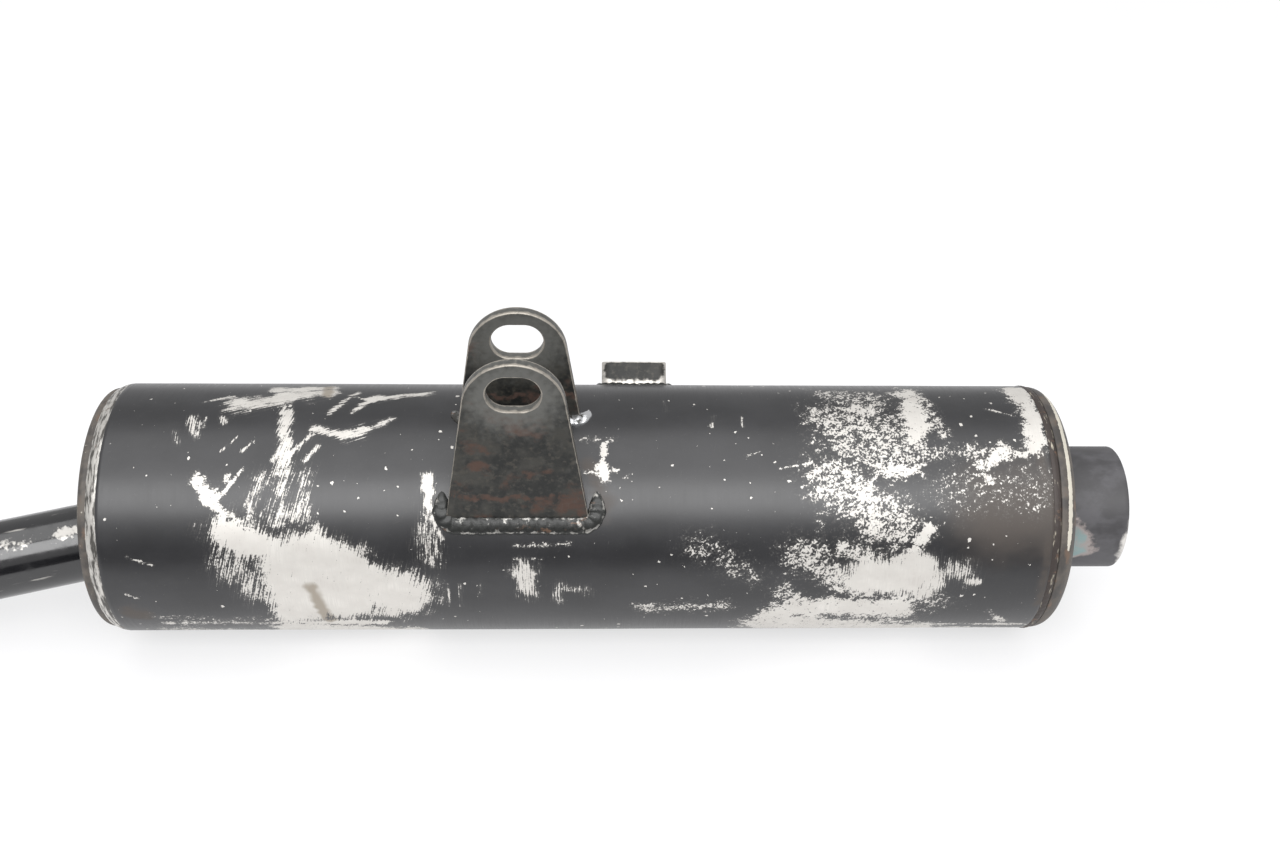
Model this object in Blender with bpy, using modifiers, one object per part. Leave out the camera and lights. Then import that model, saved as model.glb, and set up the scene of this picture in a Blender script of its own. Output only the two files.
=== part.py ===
"""Motorcycle exhaust muffler: a welded steel can with chambers and a twin-ear bracket.

The can's axis runs along X. The gas comes in at -X and leaves at +X, and the
bracket's ears stand up along +Z. Stations are distances along the axis from the
shell's front edge, and heights and depths are measured from the axis, so every
piece is placed by place(station, y, z). Sizes are in metres.
"""

import math

import bmesh
import bpy
from mathutils import Matrix, Vector

# Clearance that stands between two pieces that touch or are welded together.
GAP = 0.0003

# Facets round the outer turned pieces and round the pieces inside.
OUTER_STEPS = 48
INNER_STEPS = 24

# Steps across a bead's curved face.
BEAD_STEPS = 5
GROOVE_BEAD_STEPS = 4

# Points closer than this are one.
MERGE_DISTANCE = 0.00001

# Can.
SHELL_RADIUS = 0.0508
SHELL_WALL = 0.0015
SHELL_LENGTH = 0.3675

# End caps: pressed cups whose flanges slide into the shell.
CAP_WALL = 0.0020
CAP_FLANGE_DEPTH = 0.0120
FRONT_CAP_REACH = 0.0077
FRONT_CAP_ROUND = 0.0025
REAR_CAP_REACH = 0.0100
REAR_CAP_ROUND = 0.0070
REAR_GROOVE = 0.0026

# Weld beads: the leg is how far a bead climbs and spreads from its corner, and the
# fullness is how far its face bulges, as a share of the leg.
FRONT_BEAD_LENGTH = 0.0040
SEAM_CROWN = 0.0003
TUBE_BEAD_LEG = 0.0045
FILLET_FULLNESS = 0.18
BRACKET_BEAD_RADIUS = 0.0028

# Outlet tube, on the can's axis: how far it stands out of the shell and how far
# it runs on in front of the rear baffle.
OUTLET_RADIUS = 0.0254
OUTLET_WALL = 0.0016
OUTLET_REACH = 0.0390
OUTLET_PAST_BAFFLE = 0.0435

# Inlet pipe: where it crosses the front cap's face, and how far it leans per
# metre along the axis, towards -Y and towards -Z.
INLET_RADIUS = 0.015875
INLET_WALL = 0.0016
INLET_Y = -0.0060
INLET_Z = -0.0105
INLET_LEAN_Y = 0.229
INLET_LEAN_Z = 0.090
INLET_CAP_CLEARANCE = 0.0100
INLET_INNER_BEND = 0.0600
INLET_OUTER_BEND = 0.0950
INLET_LEANING_RUN = 0.0700
INLET_END_RUN = 0.0400
INLET_INNER_RUN = 0.0120
PIPE_BEND_STEPS = 6
PIPE_RESOLUTION = 6

# Chambers: the outer baffles' distances from the shell's two edges, the perforated
# core tube and the tubes that join the chambers.
BAFFLE_WALL = 0.0012
BAFFLE_FLANGE_DEPTH = 0.0080
BAFFLE_ROUND = 0.0030
FRONT_BAFFLE_SETBACK = 0.0855
REAR_BAFFLE_SETBACK = 0.0675
CORE_PAST_BAFFLE = 0.0750
CORE_HOLE_RADIUS = 0.0025
CORE_HOLE_PITCH = 0.0120
CORE_HOLE_RINGS = 5
CORE_DRILL_STEPS = 8
CORE_DRILL_TURNS = (45.0, 135.0)
CORE_PLUG_DEPTH = 0.0040
TRANSFER_RADIUS = 0.0110
TRANSFER_WALL = 0.0012
TRANSFER_LENGTH = 0.0600
TRANSFER_INSET = 0.0210
BLEED_RADIUS = 0.0050
BLEED_INSET = 0.0120

# Bracket ears: two plates alike, tapered to a round top, with an obround slot.
# The outer ear's face stands a little inside the can's side.
EAR_STATION = 0.1595
EAR_THICKNESS = 0.0046
OUTER_EAR_INSET = 0.0085
EAR_SPACING = 0.0351
EAR_RISE = 0.0482
EAR_TOP_RADIUS = 0.0190
EAR_FOOT_HALF_WIDTH = 0.0272
SLOT_BELOW_TOP = 0.0130
SLOT_LENGTH = 0.0200
SLOT_HEIGHT = 0.0147
ARC_STEPS = 12

# Stop lug: a small radial plate on the far side of the can.
LUG_STATION = 0.2060
LUG_ANGLE = math.radians(50.0)
LUG_WIDTH = 0.0275
LUG_THICKNESS = 0.0040
LUG_REACH = 0.0118
LUG_BEAD_RADIUS = 0.0022

# Worked out from the sizes above.
SHELL_BORE = SHELL_RADIUS - SHELL_WALL
FLANGE_RADIUS = SHELL_BORE - GAP
REAR_CAP_RADIUS = SHELL_RADIUS - GAP
OUTER_EAR_FACE_Y = OUTER_EAR_INSET - SHELL_RADIUS
INNER_EAR_FACE_Y = OUTER_EAR_FACE_Y + EAR_SPACING
EAR_TOP_Z = SHELL_RADIUS + EAR_RISE
SLOT_Z = EAR_TOP_Z - SLOT_BELOW_TOP
FRONT_BAFFLE_STATION = FRONT_BAFFLE_SETBACK
REAR_BAFFLE_STATION = SHELL_LENGTH - REAR_BAFFLE_SETBACK
MIDDLE_BAFFLE_STATION = (FRONT_BAFFLE_STATION + REAR_BAFFLE_STATION) / 2.0
TRANSFER_OFFSET = FLANGE_RADIUS - TRANSFER_INSET
BLEED_CIRCLE = FLANGE_RADIUS - BLEED_INSET
OUTLET_START = REAR_BAFFLE_STATION - OUTLET_PAST_BAFFLE
OUTLET_END = SHELL_LENGTH + OUTLET_REACH

# The lean of the inlet pipe as one angle, and the direction across the axis.
INLET_LEAN = math.atan(math.hypot(INLET_LEAN_Y, INLET_LEAN_Z))
INLET_SIDE = Vector((0.0, -INLET_LEAN_Y, -INLET_LEAN_Z)).normalized()

# The inner bend ends behind the front cap's wall.
INNER_BEND_END = CAP_WALL - FRONT_CAP_REACH + INLET_CAP_CLEARANCE
INNER_BEND_START = INNER_BEND_END + INLET_INNER_BEND * math.sin(INLET_LEAN)
CAP_CROSSING = INLET_INNER_BEND * (1.0 - math.cos(INLET_LEAN)) + (
    INNER_BEND_END + FRONT_CAP_REACH
) * math.tan(INLET_LEAN)
CORE_Y = INLET_Y - CAP_CROSSING * INLET_SIDE.y
CORE_Z = INLET_Z - CAP_CROSSING * INLET_SIDE.z
CORE_START = INNER_BEND_START + INLET_INNER_RUN + GAP
CORE_END = FRONT_BAFFLE_STATION + CORE_PAST_BAFFLE

# How far the inlet pipe reaches in front of the shell's edge.
INLET_REACH = (
    INLET_LEANING_RUN * math.cos(INLET_LEAN)
    + INLET_OUTER_BEND * math.sin(INLET_LEAN)
    + INLET_END_RUN
    - INNER_BEND_END
)

# The origin is under the middle of the whole length, at the can's lowest line.
MIDDLE_STATION = (OUTLET_END - INLET_REACH) / 2.0

TO_REAR = Matrix.Rotation(math.radians(90.0), 4, "Y")
TO_FRONT = Matrix.Rotation(math.radians(-90.0), 4, "Y")

for leftover in list(bpy.data.objects):
    bpy.data.objects.remove(leftover)

parts = bpy.data.collections.new("exhaust_muffler")
bpy.context.scene.collection.children.link(parts)
cutters = bpy.data.collections.new("muffler_cutters")
bpy.context.scene.collection.children.link(cutters)


def place(station, y=0.0, z=0.0):
    """Point at a station along the can and at a depth and height from its axis."""
    return Vector((station - MIDDLE_STATION, y, z + SHELL_RADIUS))


def metal(name, colour, roughness, metallic=1.0):
    """Principled material with one colour."""
    material = bpy.data.materials.new(name)
    material.use_nodes = True
    shader = material.node_tree.nodes["Principled BSDF"]
    shader.inputs["Base Color"].default_value = (*colour, 1.0)
    shader.inputs["Roughness"].default_value = roughness
    shader.inputs["Metallic"].default_value = metallic
    return material


shell_paint = metal("worn_black_paint", (0.085, 0.085, 0.088), 0.55, 0.3)
cap_paint = metal("cap_black_paint", (0.060, 0.056, 0.054), 0.50, 0.3)
pipe_paint = metal("pipe_gloss_black_paint", (0.030, 0.030, 0.032), 0.28, 0.2)
ear_steel = metal("rusty_dark_steel", (0.070, 0.055, 0.048), 0.60, 0.6)
bead_steel = metal("weld_bead_steel", (0.300, 0.285, 0.270), 0.45)
bare_steel = metal("bare_inner_steel", (0.420, 0.400, 0.380), 0.40)


def finish(part, material, smooth_below=35.0):
    """Give a mesh part its material and smooth its round faces."""
    part.data.materials.clear()
    part.data.materials.append(material)
    part.data.shade_smooth()
    part.data.set_sharp_from_angle(angle=math.radians(smooth_below))
    return part


def as_mesh(source, name, collection, material=None):
    """Replace a curve or a modified object with its evaluated, welded mesh."""
    bpy.context.view_layer.update()
    depsgraph = bpy.context.evaluated_depsgraph_get()
    mesh = bpy.data.meshes.new_from_object(source.evaluated_get(depsgraph))
    welded = bmesh.new()
    welded.from_mesh(mesh)
    bmesh.ops.remove_doubles(welded, verts=welded.verts, dist=MERGE_DISTANCE)
    welded.to_mesh(mesh)
    welded.free()
    matrix = source.matrix_world.copy()
    bpy.data.objects.remove(source)
    solid = bpy.data.objects.new(name, mesh)
    solid.matrix_world = matrix
    collection.objects.link(solid)
    if material:
        finish(solid, material)
    return solid


def turned(name, profile, at, turn, material, steps=OUTER_STEPS):
    """Ring or cup turned about its local Z from (radius, height) points.

    The points run down the outer side. A profile that ends on the axis closes
    there, and any other closes on itself.
    """
    mesh = bpy.data.meshes.new(name)
    points = [(radius, 0.0, height) for radius, height in profile]
    edges = [(index, index + 1) for index in range(len(points) - 1)]
    if profile[0][0] > 0.0:
        edges.append((len(points) - 1, 0))
    mesh.from_pydata(points, edges, [])
    source = bpy.data.objects.new(name, mesh)
    parts.objects.link(source)
    screw = source.modifiers.new("turn", "SCREW")
    screw.axis = "Z"
    screw.steps = steps
    screw.render_steps = steps
    screw.use_merge_vertices = True
    screw.merge_threshold = MERGE_DISTANCE
    source.matrix_world = Matrix.Translation(at) @ turn
    return as_mesh(source, name, parts, material)


def arc(centre, radius, start_degrees, end_degrees, steps):
    """Points along an arc in a plane, both ends included."""
    points = []
    for step in range(steps + 1):
        angle = math.radians(start_degrees + (end_degrees - start_degrees) * step / steps)
        points.append((centre[0] + radius * math.cos(angle), centre[1] + radius * math.sin(angle)))
    return points


def cylinder(name, start, end, radius, steps=OUTER_STEPS, collection=cutters):
    """Closed cylinder between two points."""
    along = end - start
    mesh = bpy.data.meshes.new(name)
    body = bmesh.new()
    bmesh.ops.create_cone(
        body, cap_ends=True, segments=steps, radius1=radius, radius2=radius, depth=along.length
    )
    body.to_mesh(mesh)
    body.free()
    solid = bpy.data.objects.new(name, mesh)
    turn = Vector((0.0, 0.0, 1.0)).rotation_difference(along).to_matrix().to_4x4()
    solid.matrix_world = Matrix.Translation((start + end) / 2.0) @ turn
    collection.objects.link(solid)
    return solid


def box(name, centre, size, turn=None, collection=cutters):
    """Closed box of a size about a centre."""
    mesh = bpy.data.meshes.new(name)
    body = bmesh.new()
    bmesh.ops.create_cube(body, size=1.0)
    bmesh.ops.scale(body, vec=size, verts=body.verts)
    body.to_mesh(mesh)
    body.free()
    solid = bpy.data.objects.new(name, mesh)
    solid.matrix_world = Matrix.Translation(centre) @ (turn or Matrix.Identity(4))
    collection.objects.link(solid)
    return solid


def cut(part, cutter):
    """Take a cutter's shape out of a part."""
    cutter.hide_render = True
    cutter.display_type = "WIRE"
    boolean = part.modifiers.new("cut_" + cutter.name, "BOOLEAN")
    boolean.operation = "DIFFERENCE"
    boolean.solver = "EXACT"
    boolean.object = cutter


def rod(name, points, radius, collection, material=None, resolution=PIPE_RESOLUTION):
    """Round rod along a list of points."""
    curve = bpy.data.curves.new(name, "CURVE")
    curve.dimensions = "3D"
    curve.bevel_depth = radius
    curve.bevel_resolution = resolution
    curve.use_fill_caps = True
    spline = curve.splines.new("POLY")
    spline.points.add(len(points) - 1)
    for spline_point, point in zip(spline.points, points):
        spline_point.co = (*point, 1.0)
    source = bpy.data.objects.new(name, curve)
    collection.objects.link(source)
    return as_mesh(source, name, collection, material)


def tube_profile(radius, wall, length):
    """Section of a plain tube that starts at height zero."""
    return [
        (radius, length),
        (radius, 0.0),
        (radius - wall, 0.0),
        (radius - wall, length),
    ]


def baffle_holes(name, part, holes, station):
    """Cut round holes along the axis through a baffle: a list of (y, z, radius)."""
    reach = BAFFLE_FLANGE_DEPTH + BAFFLE_ROUND
    for number, (y, z, radius) in enumerate(holes):
        cutter = cylinder(
            f"{name}_hole_{number}",
            place(station - reach, y, z),
            place(station + reach, y, z),
            radius,
        )
        cut(part, cutter)


def circle_of_holes(count, first_degrees):
    """Bleed holes spaced evenly on their circle."""
    holes = []
    for number in range(count):
        angle = math.radians(first_degrees + 360.0 * number / count)
        holes.append((BLEED_CIRCLE * math.cos(angle), BLEED_CIRCLE * math.sin(angle), BLEED_RADIUS))
    return holes


def make_shell():
    """Rolled steel can, open at both ends."""
    profile = tube_profile(SHELL_RADIUS, SHELL_WALL, SHELL_LENGTH)
    turned("shell", profile, place(0.0), TO_REAR, shell_paint)


def make_front_cap():
    """Front cup: its face stands out of the shell, and the inlet pipe crosses it."""
    outer = FRONT_CAP_REACH
    inner = outer - CAP_WALL
    corner = FRONT_CAP_ROUND
    inside = FLANGE_RADIUS - CAP_WALL
    inside_corner = max(corner - CAP_WALL, GAP)
    profile = [(0.0, outer)]
    profile += arc((FLANGE_RADIUS - corner, outer - corner), corner, 90.0, 0.0, 4)
    profile += [(FLANGE_RADIUS, -CAP_FLANGE_DEPTH), (inside, -CAP_FLANGE_DEPTH)]
    profile += arc((inside - inside_corner, inner - inside_corner), inside_corner, 0.0, 90.0, 2)
    profile += [(0.0, inner)]
    cap = turned("front_end_cap", profile, place(0.0), TO_FRONT, cap_paint)
    cut(cap, inlet_line("inlet_cap_hole", INLET_RADIUS + GAP))


def inlet_line(name, radius):
    """Cylinder along the inlet pipe's leaning run, through the front cap."""
    lean = Vector((-1.0, 0.0, 0.0)) + INLET_SIDE * math.tan(INLET_LEAN)
    crossing = place(-FRONT_CAP_REACH, INLET_Y, INLET_Z)
    reach = INNER_BEND_END + FRONT_CAP_REACH + INLET_RADIUS
    return cylinder(name, crossing - lean * reach, crossing + lean * reach, radius)


def make_rear_cap():
    """Rear cup with a round shoulder, a weld groove and the outlet tube's hole."""
    outer = REAR_CAP_REACH
    corner = REAR_CAP_ROUND
    hole = OUTLET_RADIUS + GAP
    inside = FLANGE_RADIUS - CAP_WALL
    inside_corner = corner - CAP_WALL
    profile = [(hole, outer)]
    profile += arc((REAR_CAP_RADIUS - corner, outer - corner), corner, 90.0, 0.0, 5)
    profile += [(REAR_CAP_RADIUS, REAR_GROOVE), (FLANGE_RADIUS, REAR_GROOVE)]
    profile += [(FLANGE_RADIUS, -CAP_FLANGE_DEPTH), (inside, -CAP_FLANGE_DEPTH)]
    profile += arc((inside - inside_corner, outer - corner), inside_corner, 0.0, 90.0, 4)
    profile += [(hole, outer - CAP_WALL)]
    turned("rear_end_cap", profile, place(SHELL_LENGTH), TO_REAR, cap_paint)


def make_front_seam_weld():
    """Bead in the corner between the shell's front edge and the cap's rim."""
    rim = FLANGE_RADIUS + GAP
    rise = SHELL_RADIUS - rim
    profile = [(rim, FRONT_BEAD_LENGTH)]
    for step in range(1, BEAD_STEPS):
        share = step / BEAD_STEPS
        bulge = SEAM_CROWN * math.sin(math.pi * share)
        height = GAP + (FRONT_BEAD_LENGTH - GAP) * (1.0 - share)
        profile.append((rim + rise * share + bulge, height))
    profile += [(SHELL_RADIUS - GAP, GAP), (rim, GAP)]
    turned("front_seam_weld", profile, place(0.0), TO_FRONT, bead_steel)


def make_rear_seam_weld():
    """Bead in the groove between the shell's rear edge and the cap's shoulder."""
    bottom = FLANGE_RADIUS + GAP
    near = GAP
    far = REAR_GROOVE - GAP
    profile = [(bottom, far)]
    for step in range(GROOVE_BEAD_STEPS + 1):
        share = step / GROOVE_BEAD_STEPS
        bulge = SEAM_CROWN * math.sin(math.pi * share)
        profile.append((SHELL_RADIUS - GAP + bulge, far + (near - far) * share))
    profile.append((bottom, near))
    turned("rear_seam_weld", profile, place(SHELL_LENGTH), TO_REAR, bead_steel)


def inlet_path(start_extra=0.0, end_extra=0.0):
    """Inlet pipe's centre line: straight, bent to its lean, and bent back."""
    lean = INLET_LEAN
    run = Vector((math.cos(lean), math.sin(lean)))
    across = [(-start_extra, 0.0), (INLET_INNER_RUN, 0.0)]
    centre = (INLET_INNER_RUN, INLET_INNER_BEND)
    across += arc(centre, INLET_INNER_BEND, -90.0, -90.0 + math.degrees(lean), PIPE_BEND_STEPS)[1:]
    bend = Vector(across[-1]) + run * INLET_LEANING_RUN
    centre = bend + Vector((math.sin(lean), -math.cos(lean))) * INLET_OUTER_BEND
    start_degrees = 90.0 + math.degrees(lean)
    across += arc(centre, INLET_OUTER_BEND, start_degrees, 90.0, PIPE_BEND_STEPS)
    across.append((across[-1][0] + INLET_END_RUN + end_extra, across[-1][1]))
    start = place(CORE_START - GAP, CORE_Y, CORE_Z)
    return [start + Vector((-ahead, 0.0, 0.0)) + INLET_SIDE * aside for ahead, aside in across]


def make_inlet_pipe():
    """Bent inlet pipe through the front cap, plain at both ends."""
    pipe = rod("inlet_pipe", inlet_path(), INLET_RADIUS, parts, pipe_paint)
    bore_radius = INLET_RADIUS - INLET_WALL
    past_end = INLET_RADIUS
    bore = rod("inlet_bore", inlet_path(past_end, past_end), bore_radius, cutters)
    cut(pipe, bore)


def fillet_profile(inside, leg, far):
    """Section of a fillet bead: from radius inside at a face up to height far."""
    profile = [(inside, far + leg)]
    for step in range(1, BEAD_STEPS):
        share = step / BEAD_STEPS
        bulge = FILLET_FULLNESS * leg * math.sin(math.pi * share)
        profile.append((inside + leg * share + bulge, far + leg * (1.0 - share) + bulge))
    profile += [(inside + leg, far), (inside, far)]
    return profile


def make_inlet_weld():
    """Fillet bead between the front cap's face and the leaning inlet pipe."""
    stretch = 1.0 / math.cos(INLET_LEAN)
    inside = INLET_RADIUS * stretch
    profile = fillet_profile(inside - TUBE_BEAD_LEG, 2.0 * TUBE_BEAD_LEG, GAP)
    at = place(-FRONT_CAP_REACH, INLET_Y, INLET_Z)
    weld = turned("inlet_weld", profile, at, TO_FRONT, bead_steel)
    cut(weld, inlet_line("inlet_weld_hole", INLET_RADIUS + GAP))


def make_outlet():
    """Outlet tube through the rear baffle and cap, and its fillet bead."""
    profile = tube_profile(OUTLET_RADIUS, OUTLET_WALL, OUTLET_END - OUTLET_START)
    turned("outlet_tube", profile, place(OUTLET_START), TO_REAR, pipe_paint)
    profile = fillet_profile(OUTLET_RADIUS + GAP, TUBE_BEAD_LEG, REAR_CAP_REACH + GAP)
    turned("outlet_weld", profile, place(SHELL_LENGTH), TO_REAR, bead_steel)


def make_baffle(name, station, holes):
    """Dished plate with a flange that fits the shell, with holes along the axis."""
    corner = BAFFLE_ROUND
    inside = FLANGE_RADIUS - BAFFLE_WALL
    inside_corner = corner - BAFFLE_WALL
    profile = [(0.0, 0.0)]
    profile += arc((FLANGE_RADIUS - corner, -corner), corner, 90.0, 0.0, 3)
    profile += [(FLANGE_RADIUS, -BAFFLE_FLANGE_DEPTH), (inside, -BAFFLE_FLANGE_DEPTH)]
    profile += arc((inside - inside_corner, -corner), inside_corner, 0.0, 90.0, 3)
    profile += [(0.0, -BAFFLE_WALL)]
    plate = turned(name, profile, place(station), TO_REAR, bare_steel, INNER_STEPS)
    baffle_holes(name, plate, holes, station)


def make_core():
    """Perforated core tube through the front baffle, and the plug in its end."""
    length = CORE_END - CORE_START
    profile = tube_profile(INLET_RADIUS, INLET_WALL, length)
    at = place(CORE_START, CORE_Y, CORE_Z)
    core = turned("core_tube", profile, at, TO_REAR, bare_steel, INNER_STEPS)
    first = FRONT_BAFFLE_STATION + CORE_HOLE_PITCH
    for ring in range(CORE_HOLE_RINGS):
        middle = place(first + ring * CORE_HOLE_PITCH, CORE_Y, CORE_Z)
        for turn in CORE_DRILL_TURNS:
            angle = math.radians(turn)
            across = Vector((0.0, math.cos(angle), math.sin(angle))) * INLET_RADIUS * 2.0
            drill = cylinder(
                f"core_drill_{ring}_{int(turn)}", middle - across, middle + across,
                CORE_HOLE_RADIUS, CORE_DRILL_STEPS,
            )
            cut(core, drill)
    bore = INLET_RADIUS - INLET_WALL - GAP
    plug = cylinder(
        "core_plug",
        place(CORE_END - CORE_PLUG_DEPTH, CORE_Y, CORE_Z),
        place(CORE_END, CORE_Y, CORE_Z),
        bore, INNER_STEPS, parts,
    )
    finish(plug, bare_steel)


def make_chambers():
    """Three baffles and the pair of transfer tubes through the middle one."""
    core = (CORE_Y, CORE_Z, INLET_RADIUS + GAP)
    outlet = (0.0, 0.0, OUTLET_RADIUS + GAP)
    transfers = [(side * TRANSFER_OFFSET, 0.0, TRANSFER_RADIUS + GAP) for side in (-1, 1)]
    make_baffle("front_baffle", FRONT_BAFFLE_STATION, [core] + circle_of_holes(count=3, first_degrees=30.0))
    make_baffle("middle_baffle", MIDDLE_BAFFLE_STATION, transfers)
    make_baffle("rear_baffle", REAR_BAFFLE_STATION, [outlet] + circle_of_holes(count=4, first_degrees=45.0))
    profile = tube_profile(TRANSFER_RADIUS, TRANSFER_WALL, TRANSFER_LENGTH)
    start = MIDDLE_BAFFLE_STATION - TRANSFER_LENGTH / 2.0
    for side, (y, z, _) in zip(("near", "far"), transfers):
        turned(f"transfer_tube_{side}", profile, place(start, y, z), TO_REAR, bare_steel, INNER_STEPS)


def ear_outline():
    """Outline of an ear as (x, z) points: tapered sides tangent to a round top."""
    foot_z = math.sqrt(SHELL_RADIUS ** 2 - OUTER_EAR_FACE_Y ** 2)
    centre = (0.0, EAR_TOP_Z - EAR_TOP_RADIUS)
    drop = centre[1] - foot_z
    reach = math.hypot(EAR_FOOT_HALF_WIDTH, drop)
    tangent = math.acos(EAR_TOP_RADIUS / reach) - math.atan2(drop, EAR_FOOT_HALF_WIDTH)
    first = math.degrees(tangent)
    outline = arc(centre, EAR_TOP_RADIUS, first, 180.0 - first, ARC_STEPS)
    below = foot_z - EAR_THICKNESS
    outline += [(-EAR_FOOT_HALF_WIDTH, foot_z), (-EAR_FOOT_HALF_WIDTH, below)]
    outline += [(EAR_FOOT_HALF_WIDTH, below), (EAR_FOOT_HALF_WIDTH, foot_z)]
    return outline


def slot_outline():
    """Outline of an ear's obround slot."""
    radius = SLOT_HEIGHT / 2.0
    half = SLOT_LENGTH / 2.0 - radius
    right = arc((half, SLOT_Z), radius, 90.0, -90.0, ARC_STEPS)
    left = arc((-half, SLOT_Z), radius, -90.0, -270.0, ARC_STEPS)
    return right + left


def plate(name, outlines, thickness, matrix, material):
    """Flat plate from closed outlines, the second one a hole in the first."""
    curve = bpy.data.curves.new(name, "CURVE")
    curve.dimensions = "2D"
    curve.fill_mode = "BOTH"
    curve.extrude = thickness / 2.0
    for outline in outlines:
        spline = curve.splines.new("POLY")
        spline.points.add(len(outline) - 1)
        for spline_point, (across, up) in zip(spline.points, outline):
            spline_point.co = (across, up, 0.0, 1.0)
        spline.use_cyclic_u = True
    source = bpy.data.objects.new(name, curve)
    source.matrix_world = matrix
    parts.objects.link(source)
    return as_mesh(source, name, parts, material)


def can_cutter(name):
    """Cylinder a gap larger than the can, for feet and beads that sit on it."""
    past = SHELL_RADIUS
    return cylinder(name, place(-past), place(SHELL_LENGTH + past), SHELL_RADIUS + GAP)


def make_ear(side, face_y):
    """One ear, and the bead along its outer foot and round both its ends."""
    middle_y = face_y + EAR_THICKNESS / 2.0
    upright = Matrix.Rotation(math.radians(90.0), 4, "X")
    matrix = Matrix.Translation(place(EAR_STATION, middle_y)) @ upright
    name = f"bracket_ear_{side}"
    ear = plate(name, [ear_outline(), slot_outline()], EAR_THICKNESS, matrix, ear_steel)
    cut(ear, can_cutter(f"{name}_foot"))
    foot_z = math.sqrt(SHELL_RADIUS ** 2 - face_y ** 2)
    half = ear_half_width(foot_z)
    back_y = face_y + EAR_THICKNESS
    back_z = math.sqrt(SHELL_RADIUS ** 2 - back_y ** 2)
    path = [
        place(EAR_STATION - half, back_y, back_z),
        place(EAR_STATION - half, face_y, foot_z),
        place(EAR_STATION + half, face_y, foot_z),
        place(EAR_STATION + half, back_y, back_z),
    ]
    bead = rod(f"ear_weld_{side}", path, BRACKET_BEAD_RADIUS, parts, bead_steel, 2)
    cut(bead, can_cutter(f"ear_weld_{side}_foot"))
    inflated = plate_cutter(f"ear_weld_{side}_ear", matrix)
    cut(bead, inflated)


def ear_half_width(height):
    """Half the ear's width at a height, along its tapered side."""
    outline = ear_outline()
    top_x, top_z = outline[0]
    foot_x, foot_z = outline[-1]
    share = max(0.0, (height - foot_z) / (top_z - foot_z))
    return foot_x + (top_x - foot_x) * share


def plate_cutter(name, matrix):
    """Ear-shaped cutter a gap larger than the ear all round."""
    centre_z = EAR_TOP_Z / 2.0
    outline = []
    for across, up in ear_outline():
        outline.append((across + math.copysign(GAP, across), up + math.copysign(GAP, up - centre_z)))
    source = plate(name, [outline], EAR_THICKNESS + 2.0 * GAP, matrix, ear_steel)
    parts.objects.unlink(source)
    cutters.objects.link(source)
    return source


def make_lug():
    """Radial stop lug on the can's far side, and the bead round its foot."""
    turn = Matrix.Rotation(-LUG_ANGLE, 4, "X")
    height = LUG_REACH + LUG_THICKNESS
    out = turn @ Vector((0.0, 0.0, 1.0))
    centre = place(LUG_STATION) + out * (SHELL_RADIUS + LUG_REACH - height / 2.0)
    size = Vector((LUG_WIDTH, LUG_THICKNESS, height))
    lug = box("stop_lug", centre, size, turn, parts)
    finish(lug, ear_steel)
    cut(lug, can_cutter("stop_lug_foot"))
    half = LUG_WIDTH / 2.0
    sides = LUG_THICKNESS / 2.0
    foot = place(LUG_STATION) + out * SHELL_RADIUS
    across = turn @ Vector((0.0, -1.0, 0.0))
    along = Vector((1.0, 0.0, 0.0))
    path = [
        foot - along * half - across * sides,
        foot - along * half + across * sides,
        foot + along * half + across * sides,
        foot + along * half - across * sides,
    ]
    bead = rod("lug_weld", path, LUG_BEAD_RADIUS, parts, bead_steel, 2)
    cut(bead, can_cutter("lug_weld_foot"))
    cut(bead, box("lug_weld_lug", centre, size + Vector((GAP, GAP, GAP)) * 2.0, turn))


make_shell()
make_front_cap()
make_rear_cap()
make_front_seam_weld()
make_rear_seam_weld()
make_inlet_pipe()
make_inlet_weld()
make_core()
make_outlet()
make_chambers()
make_ear("outer", OUTER_EAR_FACE_Y)
make_ear("inner", INNER_EAR_FACE_Y)
make_lug()
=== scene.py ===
"""Worn motorcycle muffler: black stove paint on rolled mild steel, rubbed and flaked bare.

Stations run along the can from the shell's front edge towards the outlet. Angles round
the can are measured from its top, towards the side that the bracket's outer ear is on.
"""

import math

import bmesh
import bpy
import numpy as np
from mathutils import Matrix, Vector


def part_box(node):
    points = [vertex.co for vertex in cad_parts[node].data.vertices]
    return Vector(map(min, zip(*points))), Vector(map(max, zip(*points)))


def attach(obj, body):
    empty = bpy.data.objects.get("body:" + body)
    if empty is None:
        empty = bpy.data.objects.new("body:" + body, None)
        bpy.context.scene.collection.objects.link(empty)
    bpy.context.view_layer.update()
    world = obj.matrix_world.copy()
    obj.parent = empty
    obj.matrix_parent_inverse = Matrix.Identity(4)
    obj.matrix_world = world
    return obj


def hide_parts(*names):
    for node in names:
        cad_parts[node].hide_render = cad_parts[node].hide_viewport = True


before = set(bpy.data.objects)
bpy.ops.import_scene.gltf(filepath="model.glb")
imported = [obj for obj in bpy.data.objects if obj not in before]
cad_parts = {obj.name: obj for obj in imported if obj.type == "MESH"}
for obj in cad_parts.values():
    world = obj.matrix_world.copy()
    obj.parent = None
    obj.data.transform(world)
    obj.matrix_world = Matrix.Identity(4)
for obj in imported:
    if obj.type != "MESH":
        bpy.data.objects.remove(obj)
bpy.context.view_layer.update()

TAU = 2.0 * math.pi
MM = 0.001
TINY = 1e-6

# Points round a bead's section, and the widest soft edges of wear and of browning in mm.
BEAD_SIDES = 28
SOFTEST_WEAR = 12.0
SOFTEST_BROWN = 26.0

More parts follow.
